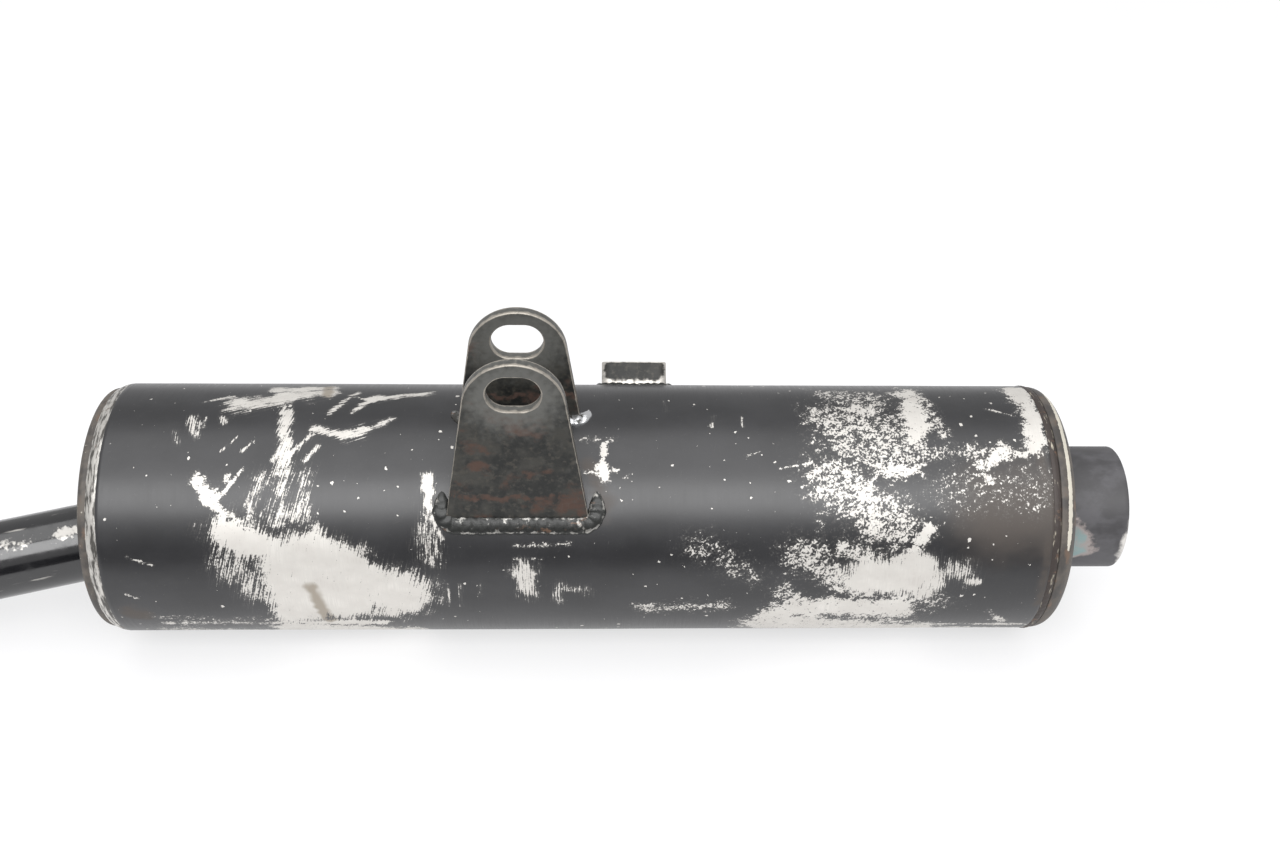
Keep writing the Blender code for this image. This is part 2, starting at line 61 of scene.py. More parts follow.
# Places and sizes that the CAD nodes give.
SHELL_LOW, SHELL_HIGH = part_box("shell")
FRONT = SHELL_LOW[0]
LENGTH = SHELL_HIGH[0] - SHELL_LOW[0]
RADIUS = (SHELL_HIGH[1] - SHELL_LOW[1]) / 2.0
AXIS_Z = SHELL_LOW[2] + RADIUS
SHELL_WALL = 0.0015
GAP = 0.0003
FLANGE_RADIUS = RADIUS - SHELL_WALL - GAP

FRONT_CAP_LOW, FRONT_CAP_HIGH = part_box("front_end_cap")
FRONT_CAP_REACH = FRONT - FRONT_CAP_LOW[0]
CAP_DEPTH = FRONT_CAP_HIGH[0] - FRONT
REAR_CAP_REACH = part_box("rear_end_cap")[1][0] - SHELL_HIGH[0]
CAP_WALL = 0.0020
FRONT_CAP_ROUND = 0.0025
REAR_CAP_ROUND = 0.0070
REAR_GROOVE = 0.0026

OUTLET_LOW, OUTLET_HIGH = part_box("outlet_tube")
OUTLET_RADIUS = (OUTLET_HIGH[1] - OUTLET_LOW[1]) / 2.0
INLET_RADIUS = 0.015875
TUBE_WALL = 0.0016
INLET_CROSSING = (-0.0060, -0.0105)
INLET_LEAN_Y = 0.229
INLET_LEAN_Z = 0.090
INNER_BEND = 0.0600
OUTER_BEND = 0.0950
LEANING_RUN = 0.0700
END_RUN = 0.0400
INNER_RUN = 0.0120

EAR_X = sum(corner[0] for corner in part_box("bracket_ear_outer")) / 2.0
EAR_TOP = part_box("bracket_ear_outer")[1][2] - AXIS_Z
EAR_FACES = {side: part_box("bracket_ear_" + side)[0][1] for side in ("outer", "inner")}
EAR_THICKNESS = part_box("bracket_ear_outer")[1][1] - EAR_FACES["outer"]
EAR_TOP_RADIUS = 0.0190
EAR_HALF_WIDTH = 0.0272
EAR_FOOT_Z = math.sqrt(RADIUS ** 2 - EAR_FACES["outer"] ** 2)
SLOT_Z = EAR_TOP - 0.0130
SLOT_RADIUS = 0.00735
SLOT_HALF = 0.0100 - SLOT_RADIUS

LUG_X = sum(corner[0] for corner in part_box("stop_lug")) / 2.0
LUG_ANGLE = math.radians(-50.0)
LUG_WIDTH = 0.0275
LUG_THICKNESS = 0.0040
LUG_REACH = 0.0118


# Shapes -----------------------------------------------------------------------------

def value_noise(u, v, seed):
    """Smooth random field from 0 to 1: random numbers on a lattice of whole numbers,
    blended between the four nearest by 3t^2 - 2t^3 in each direction."""
    table = np.random.default_rng(seed).random((64, 64))
    column, row = np.floor(u).astype(int), np.floor(v).astype(int)
    across, up = u - column, v - row
    across, up = across * across * (3 - 2 * across), up * up * (3 - 2 * up)

    def between(row):
        left, right = table[column % 64, row % 64], table[(column + 1) % 64, row % 64]
        return left * (1 - across) + right * across

    return between(row) * (1 - up) + between(row + 1) * up


def share_of(values):
    """Values held between 0 and 1."""
    return np.clip(values, 0.0, 1.0)


def put(name, data):
    """Puts an object that holds a mesh, a light or a camera into the scene."""
    made = bpy.data.objects.new(name, data)
    bpy.context.scene.collection.objects.link(made)
    return made


def surface(name, points, finish, wrap_rows=True, sheet=None, **attributes):
    """Mesh from a grid of points shaped (rows, columns, 3), one quad to a cell.

    Columns always join round. Rows join too, or end in rings that shrink to a pole. The
    sheet is its UV map, and each attribute holds one number for each point.
    The volume's sign, the sum of each quad's centre dotted with the cross product of its
    diagonals, says which way the faces look, and they are turned to look outwards.
    """
    points = np.asarray(points)
    rows, columns, _ = points.shape
    last = rows if wrap_rows else rows - 1
    row, column = np.meshgrid(np.arange(last), np.arange(columns), indexing="ij")
    corners = np.stack([row, row + 1, row + 1, row], axis=-1)
    sides = np.stack([column, column, column + 1, column + 1], axis=-1)
    quads = ((corners % rows) * columns + sides % columns).reshape(-1, 4)
    flat = points.reshape(-1, 3)
    cell = flat[quads]
    turned_area = np.cross(cell[:, 2] - cell[:, 0], cell[:, 3] - cell[:, 1])
    volume = np.einsum("ij,ij->", cell.mean(axis=1) - flat.mean(axis=0), turned_area)
    order = [0, 1, 2, 3] if volume > 0 else [3, 2, 1, 0]
    quads = quads[:, order]

    mesh = bpy.data.meshes.new(name)
    mesh.from_pydata(flat, [], quads, shade_flat=False)
    if sheet is not None:
        layer = mesh.uv_layers.new(name="sheet")
        cell_row = corners.reshape(-1, 4)[:, order].ravel()
        cell_column = sides.reshape(-1, 4)[:, order].ravel()
        layer.data.foreach_set("uv", sheet[cell_row, cell_column].astype(np.float32).ravel())
    for label, values in attributes.items():
        field = mesh.attributes.new(label, "FLOAT", "POINT")
        field.data.foreach_set("value", np.asarray(values, dtype=np.float32).ravel())
    if not wrap_rows:
        merged = bmesh.new()
        merged.from_mesh(mesh)
        bmesh.ops.remove_doubles(merged, verts=merged.verts, dist=1e-7)
        merged.to_mesh(mesh)
        merged.free()
    mesh.materials.append(finish)
    return put(name, mesh)


def stand_in(node, slot, name, points, finish, **more):
    """Surface that rides on the muffler's one body and is shown in a CAD node's place."""
    piece = surface(name, points, finish, **more)
    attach(piece, "root")
    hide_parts(node)


def ring(count):
    """Evenly spaced angles round a circle, without the repeated last one."""
    return np.arange(count) * TAU / count


def from_top(angles):
    """Angles in degrees, from -180 to 180."""
    return np.degrees(np.where(angles > math.pi, angles - TAU, angles))


def outward(angles):
    """(depth, height) of the way out from an axis at each angle."""
    return np.stack([-np.sin(angles), np.cos(angles)], axis=-1)


def round_axis(x, radius, angles):
    """Points at a radius from the can's axis, at each angle."""
    places = np.broadcast_arrays(x, -radius * np.sin(angles), AXIS_Z + radius * np.cos(angles))
    return np.stack(places, axis=-1)


def columns(profile):
    """Stations and radii of a profile, each as one column."""
    return np.array(profile, dtype=float).T[:, :, None]


def arc(centre, radius, start, end, count):
    """Points of an arc in a plane, from one angle in degrees to another."""
    angles = np.radians(np.linspace(start, end, count))
    return [(centre[0] + radius * math.cos(a), centre[1] + radius * math.sin(a)) for a in angles]


def on_can(x, angle):
    """Points on the can's side, and the way out at each."""
    out = np.concatenate([0.0 * angle[:, None], outward(angle)], axis=1)
    return round_axis(x, RADIUS, angle), out


def evenly(points, spacing):
    """Points resampled at even distances along the line that they make."""
    steps = np.linalg.norm(np.diff(points, axis=0), axis=1)
    along = np.concatenate([[0.0], np.cumsum(steps)])
    wanted = np.linspace(0.0, along[-1], max(8, int(along[-1] / spacing)))
    return np.stack([np.interp(wanted, along, values) for values in points.T], axis=-1)


def bead_surface(centres, outs, half_width, height, sink, pitch, seed, taper=0.0):
    """Weld bead: half an ellipse, half_width across and height proud, carried along its
    centres. Each puddle of one pitch bulges by the size of a sine and lags at the
    sides, random swells vary it, both ends shrink over the taper and round off."""
    ahead = np.gradient(centres, axis=0)
    steps = np.linalg.norm(ahead, axis=1, keepdims=True)
    ahead = ahead / steps
    beside = np.cross(ahead, outs)
    along = np.cumsum(steps[:, 0]) - steps[0, 0]
    turn = ring(BEAD_SIDES)[None, :]
    lag = 0.45 * np.cos(turn) ** 2
    phase = along[:, None] / pitch + lag
    swell = 0.84 + 0.22 * np.abs(np.sin(math.pi * phase))
    swell = swell + 0.22 * (value_noise(phase * 0.9, 2.0 + turn * 0.0 + phase * 0.31, seed) - 0.5)
    swell = swell + 0.10 * (value_noise(phase * 3.3, turn * 2.2, seed + 1) - 0.5)
    to_end = np.minimum(along, along[-1] - along)[:, None] / half_width
    closing = np.sqrt(share_of(1.0 - (1.0 - share_of(to_end)) ** 2))
    closing = closing * (0.4 + 0.6 * share_of(to_end * half_width / max(taper, MM)))
    wide = half_width * (0.6 + 0.4 * swell) * closing
    tall = np.where(np.sin(turn) > 0.0, height * swell, sink) * closing
    return (
        centres[:, None, :]
        + beside[:, None, :] * (wide * np.cos(turn))[..., None]
        + outs[:, None, :] * (tall * np.sin(turn))[..., None]
    )


# Wear on the shell ------------------------------------------------------------------
# Each stroke is (station, angle) to (station, angle), half its width, and how much of
# the paint is gone along it, from 0 to 1. Stations and widths in mm, angles in degrees.

STROKES = {
    # Long rubs that lean steeply, and the two big patches they run into.
    "steep": [
        (69, 4, 70, 31, 2.6, 0.93), (46, 26, 52, 18, 0.4, 0.9), (54, 26, 58, 21, 0.6, 0.9),
        (78, 31, 83, 23, 0.8, 0.9), (70, 31, 80, 17, 0.9, 0.85), (66, 30, 71, 24, 1.4, 0.9),
        (58, 56, 62, 38, 3.2, 0.55), (68, 58, 71, 37, 4.7, 0.72), (77, 56, 78, 38, 3.9, 0.6),
        (48, 61, 77, 74, 6.9, 0.98), (73, 74, 74, 104, 11.4, 0.985), (88, 76, 113, 97, 10.9, 0.985),
        (48, 74, 58, 90, 6.4, 0.45), (77, 68, 94, 76, 7.4, 0.98),
        (75, 90, 94, 96, 12.6, 0.99), (95, 85, 119, 91, 7.9, 0.97), (72, 116, 106, 116, 2.4, 0.98),
        (112, 90, 124, 95, 5.5, 0.6), (98, 106, 118, 107, 3.6, 0.62),
    ],
    # Brushed rubs near the top that lie flatter.
    "shallow": [
        (47, -1, 81, -13, 4.3, 0.97), (35, -3, 46, -9, 0.8, 0.7), (60, -16, 84, -20, 3.0, 0.9),
        (94, -13, 85, 5, 1.2, 0.85), (100, -6, 94, 4, 1.2, 0.85), (85, -14, 101, -4, 0.8, 0.85),
        (99, -6, 124, -13, 1.8, 0.97), (80, 15, 92, 18, 2.0, 0.93), (92, 18, 101, 15, 2.8, 0.96),
        (101, 15, 110, 8, 1.6, 0.93),
    ],
    # Scratches round the can.
    "upright": [
        (33, 9, 35, 17, 2.0, 0.7), (27, 16, 29, 21, 1.3, 0.7), (38, 8, 38, 14, 0.5, 0.8),
        (44, 8, 45, 11, 1.3, 0.8), (125, 38, 126, 51, 1.7, 0.98), (126, 53, 126, 74, 4.3, 0.4),
        (127, 55, 131, 65, 0.8, 0.95), (132, 87, 132, 101, 0.6, 0.75), (137, 87, 137, 101, 0.6, 0.75),
        (145, 87, 145, 97, 0.6, 0.75), (162, 80, 163, 91, 4.0, 0.85), (175, 87, 175, 97, 2.0, 0.55),
        (176, 90, 186, 90, 2.4, 0.35), (217, -5, 217, 3, 0.4, 0.8), (236, 6, 235, 13, 0.5, 0.8),
        (247, 7, 247, 13, 0.5, 0.8), (295, 83, 316, 83, 9.6, 0.985), (319, 81, 332, 81, 5.6, 0.62),
        (335, 86, 339, 86, 1.6, 0.8), (306, 92, 318, 92, 4.0, 0.8),
        # On the far side.
        (60, 168, 64, 196, 5.0, 0.93), (74, 176, 80, 190, 4.0, 0.6), (128, 206, 129, 218, 1.4, 0.9),
        (206, 238, 207, 252, 1.0, 0.85), (150, 262, 152, 280, 2.6, 0.6), (110, 266, 112, 276, 1.2, 0.9),
    ],
    # Flaked paint in grains of a millimetre or two.
    "flakes": [
        (39, 40, 49, 56, 2.6, 0.97), (48, 57, 55, 62, 5.2, 0.9), (47, 47, 55, 34, 0.6, 0.95),
        (49, 38, 49, 38, 1.6, 0.97), (11, 73, 21, 77, 0.6, 0.8), (8, 92, 12, 95, 0.6, 0.7),
        (193, 22, 192, 32, 1.3, 0.93), (192, 34, 193, 38, 2.4, 0.97), (185, 36, 198, 35, 1.0, 0.6),
        (201, 38, 201, 38, 0.9, 0.98), (16, 110, 62, 113, 2.2, 0.14), (20, 116, 64, 117, 2.4, 0.5),
        (248, 28, 253, 26, 0.6, 0.75), (260, 34, 270, 32, 0.3, 0.95), (181, 20, 196, 20, 1.9, 0.12),
        (158, 68, 179, 67, 1.0, 0.45), (158, 74, 169, 74, 0.3, 0.8), (229, 68, 251, 82, 5.4, 0.18),
        (208, 103, 240, 101, 3.2, 0.4), (282, 8, 311, 20, 10.8, 0.45), (284, -12, 300, -6, 9.0, 0.3),
        (288, 1, 299, 1, 3.4, 0.85), (317, -18, 315, 19, 5.0, 0.95), (300, 35, 314, 34, 3.9, 0.88),
        (341, 33, 349, 25, 3.0, 0.93), (350, 26, 357, 27, 1.8, 0.7),
        (340, 36, 342, 40, 1.6, 0.85), (319, 26, 339, 26, 3.6, 0.42),
        (280, 39, 305, 59, 11.7, 0.50), (292, 44, 300, 62, 5.5, 0.78), (268, 72, 296, 91, 8.3, 0.55),
        (284, 70, 300, 76, 5.0, 0.75), (267, 105, 309, 103, 7.6, 0.97), (318, 61, 313, 70, 2.6, 0.97),
        (309, 100, 326, 100, 6.5, 0.3), (348, 107, 354, 116, 2.1, 0.85), (321, 122, 369, 122, 1.5, 0.8),
        (363, -22, 363, 22, 4.4, 0.985), (345, 0, 357, 6, 0.5, 0.95), (325, 43, 364, 43, 10.0, 0.10),
        (285, 24, 312, 30, 8.0, 0.42), (296, 60, 312, 60, 8.0, 0.30), (262, 92, 270, 98, 5.0, 0.45),
        (276, 20, 276, 60, 3.0, 0.12), (304, 74, 316, 74, 2.0, 0.9), (322, -8, 326, 18, 2.4, 0.5),
        # Underneath and on the far side.
        (18, 128, 60, 135, 6.0, 0.4), (72, 130, 110, 142, 14.0, 0.97), (262, 120, 320, 135, 14.0, 0.93),
        (321, 130, 366, 135, 5.0, 0.6), (120, 140, 250, 148, 6.0, 0.10),
        (230, 172, 292, 180, 8.0, 0.18), (262, 176, 276, 180, 4.0, 0.8),
        (300, 215, 340, 228, 6.0, 0.22), (318, 216, 332, 222, 3.0, 0.85),
        (24, 240, 60, 246, 6.0, 0.12), (244, 252, 268, 258, 5.0, 0.12), (332, 278, 346, 286, 6.0, 0.20),
        (8, 285, 14, 300, 2.0, 0.5), (364, 190, 364, 260, 2.4, 0.5), (340, 262, 346, 266, 2.0, 0.9),
    ],
    # Where a weld behind the wall browned the bare steel.
    "stain": [
        (81, -26, 82, 9, 2.0, 0.9), (80, 89, 84, 113, 2.2, 0.9), (81, 160, 82, 185, 2.2, 0.8),
    ],
    # Brown that the heat left in the paint beside the outlet and the bracket.
    "browned": [
        (346, 52, 366, 52, 16.0, 0.75), (8, 105, 12, 108, 3.0, 0.7), (190, 40, 192, 52, 3.0, 0.5),
        (340, 200, 366, 240, 20.0, 0.6), (187, 33, 190, 38, 2.5, 0.6), (362, -10, 366, 100, 2.0, 0.6),
    ],
}


def paint_gone(station, arc_length, strokes, softest):
    """How bare the sheet is: each stroke's level inside its width, falling over a soft
    edge to -0.5 outside, and the greatest of all strokes at each point. Random swells of
    6 and 2.4 mm move the edges in and out. The level is 0.5 plus 0.14 times the log of
    the bare share over the painted share, so a grainy pattern, cut at 0.5, leaves that
    share bare."""
    gone = np.full(station.shape, -0.5)
    broad = value_noise(station / 0.0060, arc_length / 0.0060 + 20.0, 41) - 0.5
    narrow = value_noise(station / 0.0024, arc_length / 0.0020 + 20.0, 42) - 0.5
    for start, start_angle, end, end_angle, half_width, share in strokes:
        begin = np.array([start * MM, math.radians(start_angle) * RADIUS])
        run = np.array([end * MM, math.radians(end_angle) * RADIUS]) - begin
        squared = max(float(run @ run), 1e-12)
        ahead = ((station - begin[0]) * run[0] + (arc_length - begin[1]) * run[1]) / squared
        ahead = share_of(ahead)
        away = np.hypot(station - begin[0] - ahead * run[0], arc_length - begin[1] - ahead * run[1])
        soft = min(max(1.9 * half_width, 1.3), softest) * MM
        swell = min(1.0 * half_width, 5.5) * broad + min(0.9 * half_width, 3.0) * narrow
        inside = share_of(((half_width + swell) * MM - away) / soft + 0.6)
        level = 0.5 + 0.14 * math.log(share / (1.0 - share))
        gone = np.maximum(gone, -0.5 + (level + 0.5) * inside)
    return gone


# Finishes ---------------------------------------------------------------------------
# A Mix node blends its inputs 6 and 7 where it is set to colour, and 2 and 3 where it
# blends numbers. Input 0 is the share of the second.

COLOUR = {"data_type": "RGBA"}
SOFT_CUT = {"interpolation_type": "SMOOTHSTEP"}
FLAT = {"noise_dimensions": "2D"}
LAID = {"vector_type": "TEXTURE"}
TIMES = {"operation": "MULTIPLY"}
TIMES_PLUS = {"operation": "MULTIPLY_ADD"}
GREATER = {"operation": "MAXIMUM"}


def linear(code):
    """sRGB hex to linear colour."""
    values = np.array([int(code[start:start + 2], 16) for start in (1, 3, 5)]) / 255.0
    values = np.where(values <= 0.04045, values / 12.92, ((values + 0.055) / 1.055) ** 2.4)
    return (*values.tolist(), 1.0)


def wire(tree, node, inputs):
    """Each of a node's inputs gets a value, or a link from another node's output."""
    for label, value in inputs.items():
        if isinstance(value, bpy.types.NodeSocket):
            tree.links.new(value, node.inputs[label])
        else:
            node.inputs[label].default_value = value


def add(tree, kind, settings=None, inputs=None, out=0):
    """Adds a node with its settings and inputs, and gives one of its outputs."""
    made = tree.nodes.new("ShaderNode" + kind)
    for label, value in (settings or {}).items():
        setattr(made, label, value)
    wire(tree, made, inputs or {})
    return made.outputs[out]


def new_finish(name):
    """Empty material, its node tree and its Principled shader."""
    made = bpy.data.materials.new(name)
    made.use_nodes = True
    return made, made.node_tree, made.node_tree.nodes["Principled BSDF"]


def patches(tree, place, size, detail, low, high, lean=(0.0, 0.0, 0.0)):
    """Soft-edged patches: noise of a size in metres along three axes, cut between two
    levels, with its grain turned by an angle."""
    laid = add(tree, "Mapping", LAID, {"Vector": place, "Rotation": lean, "Scale": size})
    grain = add(tree, "TexNoise", None,
                {"Vector": laid, "Scale": 1.0, "Detail": detail, "Roughness": 0.6})
    return add(tree, "MapRange", SOFT_CUT, {"Value": grain, "From Min": low, "From Max": high})


def wear(tree, attribute, grain, reach, low, high):
    """How worn the surface is: the piece's own attribute, made ragged by a grain times
    its reach, cut between two levels."""
    cover = add(tree, "Attribute", {"attribute_name": attribute}, out="Fac")
    raised = add(tree, "Math", TIMES_PLUS, {0: grain, 1: reach, 2: cover})
    return add(tree, "MapRange", SOFT_CUT, {"Value": raised, "From Min": low, "From Max": high})


def coats(tree, colour, *layers):
    """Colours laid over the first one, each on its own share of the surface."""
    colour = linear(colour)
    for share, over in layers:
        over = linear(over) if isinstance(over, str) else over
        colour = add(tree, "Mix", COLOUR, {0: share, 6: colour, 7: over}, out=2)
    return colour


def make_shell_paint():
    """Satin black stove paint on mild steel: a soft grey sheen, broken by rubs, brush
    marks and flakes down to pale, dull steel."""
    made, tree, shader = new_finish("stove_paint_on_mild_steel")
    sheet = add(tree, "UVMap", {"uv_map": "sheet"})
    bare = thinned = 0.0
    grit = add(tree, "TexNoise", FLAT,
               {"Vector": sheet, "Scale": 1100.0, "Detail": 3.0, "Roughness": 0.65})
    # Grain of each kind of wear: its lean, its length and breadth in metres, how far it
    # reaches, and how much finer grit breaks it up.
    grains = {
        "steep": (math.radians(-75), 0.0110, 0.0006, 2.1, 1.1),
        "shallow": (math.radians(-22), 0.0160, 0.0006, 2.1, 0.8),
        "upright": (math.radians(90), 0.0080, 0.0005, 2.0, 0.8),
        "flakes": (math.radians(-30), 0.0032, 0.0023, 1.6, 1.8),
    }
    sharp, faded = 0.08, 0.60
    for kind, (lean, long, thin, reach, fine) in grains.items():
        cover = add(tree, "Attribute", {"attribute_name": kind}, out="Fac")
        laid = add(tree, "Mapping", LAID,
                   {"Vector": sheet, "Rotation": (0.0, 0.0, lean), "Scale": (long, thin, 1.0)})
        grain = add(tree, "TexNoise", FLAT,
                    {"Vector": laid, "Scale": 1.0, "Detail": 3.5, "Roughness": 0.62})
        raised = add(tree, "Math", TIMES_PLUS, {0: grain, 1: reach, 2: cover})
        raised = add(tree, "Math", TIMES_PLUS, {0: grit, 1: fine, 2: raised})
        edge = 0.5 + (reach + fine) / 2.0
        mask = add(tree, "MapRange", SOFT_CUT,
                   {"Value": raised, "From Min": edge - sharp, "From Max": edge + sharp})
        bare = add(tree, "Math", GREATER, {0: bare, 1: mask})
        around = add(tree, "MapRange", SOFT_CUT,
                     {"Value": raised, "From Min": edge - faded, "From Max": edge})
        thinned = add(tree, "Math", GREATER, {0: thinned, 1: around})
    # Chips the size of a grain of sand, one to a cell of 5 mm or none.
    wobble = add(tree, "TexNoise", None, {"Vector": sheet, "Scale": 900.0, "Detail": 2.0}, "Color")
    jitter = add(tree, "VectorMath", TIMES_PLUS, {0: wobble, 1: (0.0018, 0.0018, 0.0), 2: sheet})
    cells = add(tree, "TexVoronoi", {"voronoi_dimensions": "2D"},
                {"Vector": jitter, "Scale": 200.0}).node
    lot = add(tree, "SeparateColor", None, {0: cells.outputs["Color"]})
    size = add(tree, "Math", {"operation": "POWER"}, {0: lot, 1: 9.0})
    crowd = patches(tree, sheet, (0.040, 0.040, 1.0), 2.0, 0.38, 0.66)
    crowd = add(tree, "Math", TIMES_PLUS, {0: crowd, 1: 0.14, 2: 0.03})
    size = add(tree, "Math", TIMES, {0: size, 1: crowd})
    chip = add(tree, "Math", {"operation": "LESS_THAN"}, {0: cells.outputs["Distance"], 1: size})
    bare = add(tree, "Math", GREATER, {0: bare, 1: chip})
    # Paint: hardly varied black, a little browned by heat, and grey where it is thin.
    cloud = patches(tree, sheet, (0.045, 0.030, 1.0), 4.0, 0.35, 0.65)
    heat = wear(tree, "browned", 0.0, 0.0, -0.4, 0.8)
    thinned = add(tree, "Math", TIMES, {0: thinned, 1: 0.26})
    paint = coats(tree, "#222224", (cloud, "#2b2b2d"), (heat, "#423b36"), (thinned, "#6b6966"))
    # Bare steel: pale and dull, clouded, with fine marks round the can.
    clouded = patches(tree, sheet, (0.012, 0.009, 1.0), 5.0, 0.3, 0.7)
    brushed = patches(tree, sheet, (0.0005, 0.0140, 1.0), 3.0, 0.35, 0.68)
    stained = wear(tree, "stain", 0.0, 0.0, -0.1, 0.75)
    steel = coats(tree, "#cac6c1", (clouded, "#dbd8d3"), (brushed, "#d1cec9"), (stained, "#a39b90"))
    scuffed = patches(tree, sheet, (0.0004, 0.0160, 1.0), 4.0, 0.3, 0.75)
    satin = add(tree, "Mix", None, {0: scuffed, 2: 0.32, 3: 0.39})
    satin = add(tree, "Mix", None, {0: heat, 2: satin, 3: 0.56})
    sunk = add(tree, "Math", TIMES, {0: bare, 1: -1.0})
    wire(tree, shader, {
        "Base Color": add(tree, "Mix", COLOUR, {0: bare, 6: paint, 7: steel}, out=2),
        "Roughness": add(tree, "Mix", None, {0: bare, 2: satin, 3: 0.58}),
        "Metallic": add(tree, "Mix", None, {0: bare, 2: 0.0, 3: 0.55}),
        "Normal": add(tree, "Bump", None, {"Height": sunk, "Strength": 0.25, "Distance": 0.00006}),
        "Specular IOR Level": 0.62,
    })
    return made


def make_cap_paint():
    """Heat-browned black paint on pressed steel: duller than the shell, dusty with fine
    rust, and rubbed to cream steel along one stretch of the rear shoulder."""
    made, tree, shader = new_finish("heat_browned_paint_on_pressed_steel")
    place = add(tree, "TexCoord", out="Object")
    soot = patches(tree, place, (0.010, 0.010, 0.010), 5.0, 0.38, 0.62)
    rusted = patches(tree, place, (0.004, 0.007, 0.007), 5.0, 0.56, 0.72)
    grain = add(tree, "TexNoise", None, {"Vector": place, "Scale": 620.0, "Detail": 3.0})
    bare = wear(tree, "worn", grain, 0.9, 0.92, 1.02)
    wire(tree, shader, {
        "Base Color": coats(tree, "#3d3a38", (soot, "#5a544e"), (rusted, "#635144"),
                            (bare, "#d6d1c4")),
        "Roughness": add(tree, "Mix", None, {0: soot, 2: 0.50, 3: 0.66}),
        "Metallic": add(tree, "Mix", None, {0: bare, 2: 0.0, 3: 0.5}),
    })
    return made


def make_pipe_paint():
    """Gloss black paint on drawn steel tube: clean reflections, with a few scuffs that
    run along the pipe and a ragged rub down to steel on its upper side."""
    made, tree, shader = new_finish("gloss_black_paint_on_drawn_tube")
    place = add(tree, "TexCoord", out="Object")
    lean = (0.0, math.radians(-5.0), math.radians(13.0))
    scuffs = patches(tree, place, (0.020, 0.0013, 0.0013), 4.0, 0.60, 0.66, lean)
    region = patches(tree, place, (0.030, 0.020, 0.020), 2.0, 0.50, 0.66)
    scuffs = add(tree, "Math", TIMES, {0: scuffs, 1: region})
    grain = add(tree, "TexNoise", None, {"Vector": place, "Scale": 700.0, "Detail": 4.0})
    rubbed = wear(tree, "rubbed", grain, 1.0, 0.86, 1.10)
    scuffs = add(tree, "Math", GREATER, {0: scuffs, 1: rubbed})
    dust = patches(tree, place, (0.006, 0.006, 0.006), 4.0, 0.45, 0.75)
    wire(tree, shader, {
        "Base Color": coats(tree, "#1a1a1c", (scuffs, "#b5b2ad")),
        "Roughness": add(tree, "Mix", None, {0: dust, 2: 0.13, 3: 0.27}),
        "Metallic": add(tree, "Mix", None, {0: scuffs, 2: 0.0, 3: 0.4}),
        "Specular IOR Level": 0.9,
    })
    return made


def make_outlet_paint():
    """Flat black on the outlet tube, burnt off low on one side where the steel took
    straw, pink and blue heat colours, and rubbed along its open edge."""
    made, tree, shader = new_finish("burnt_flat_black_on_steel_tube")
    place = add(tree, "TexCoord", out="Object")
    cloud = patches(tree, place, (0.014, 0.010, 0.010), 4.0, 0.4, 0.65)
    grain = add(tree, "TexNoise", None,
                {"Vector": place, "Scale": 190.0, "Detail": 6.0, "Roughness": 0.65})
    oxide = wear(tree, "burnt", grain, 1.5, 0.96, 1.34)
    bluing = wear(tree, "burnt", grain, 1.5, 1.25, 1.75)
    bare = wear(tree, "worn", grain, 0.9, 0.88, 1.22)
    tinted = coats(tree, "#a09794", (bluing, "#8ba0a0"))
    wire(tree, shader, {
        "Base Color": coats(tree, "#3d3c3e", (cloud, "#504f52"), (oxide, tinted),
                            (bare, "#c4c1bd")),
        "Roughness": add(tree, "Mix", None, {0: cloud, 2: 0.48, 3: 0.60}),
        "Metallic": add(tree, "Mix", None, {0: oxide, 2: 0.0, 3: 0.45}),
    })
    return made


def make_plate_finish(name, dark, light, rust_from, edge_colour):
    """Hot-rolled plate under thin black paint: clouded black, with flat rust patches
    above a noise level, greyer round the slot, and edges rubbed to steel."""
    made, tree, shader = new_finish(name)
    place = add(tree, "TexCoord", out="Object")
    scale = patches(tree, place, (0.009, 0.009, 0.009), 6.0, 0.38, 0.62)
    speckle = patches(tree, place, (0.0022, 0.0022, 0.0022), 5.0, 0.50, 0.72)
    rust = patches(tree, place, (0.015, 0.015, 0.011), 6.0, rust_from, rust_from + 0.12)
    grain = add(tree, "TexNoise", None, {"Vector": place, "Scale": 420.0, "Detail": 4.0})
    banded = wear(tree, "rust_band", grain, 0.7, 0.75, 0.95)
    rust = add(tree, "Math", GREATER, {0: rust, 1: banded})
    # Greyer round the slot, where the ear's attribute asks.
    washer = wear(tree, "washer", grain, 1.0, 0.45, 1.60)
    bare = wear(tree, "rim", grain, 1.1, 1.10, 1.55)
    wire(tree, shader, {
        "Base Color": coats(tree, dark, (scale, light), (speckle, "#3f3c36"), (rust, "#49372f"),
                            (washer, "#5b5b58"), (bare, edge_colour)),
        "Roughness": add(tree, "Mix", None, {0: rust, 2: 0.50, 3: 0.78}),
        "Metallic": add(tree, "Mix", None, {0: bare, 2: 0.15, 3: 0.8}),
        "Normal": add(tree, "Bump", None, {"Height": grain, "Strength": 0.25, "Distance": 0.0003}),
    })
    return made


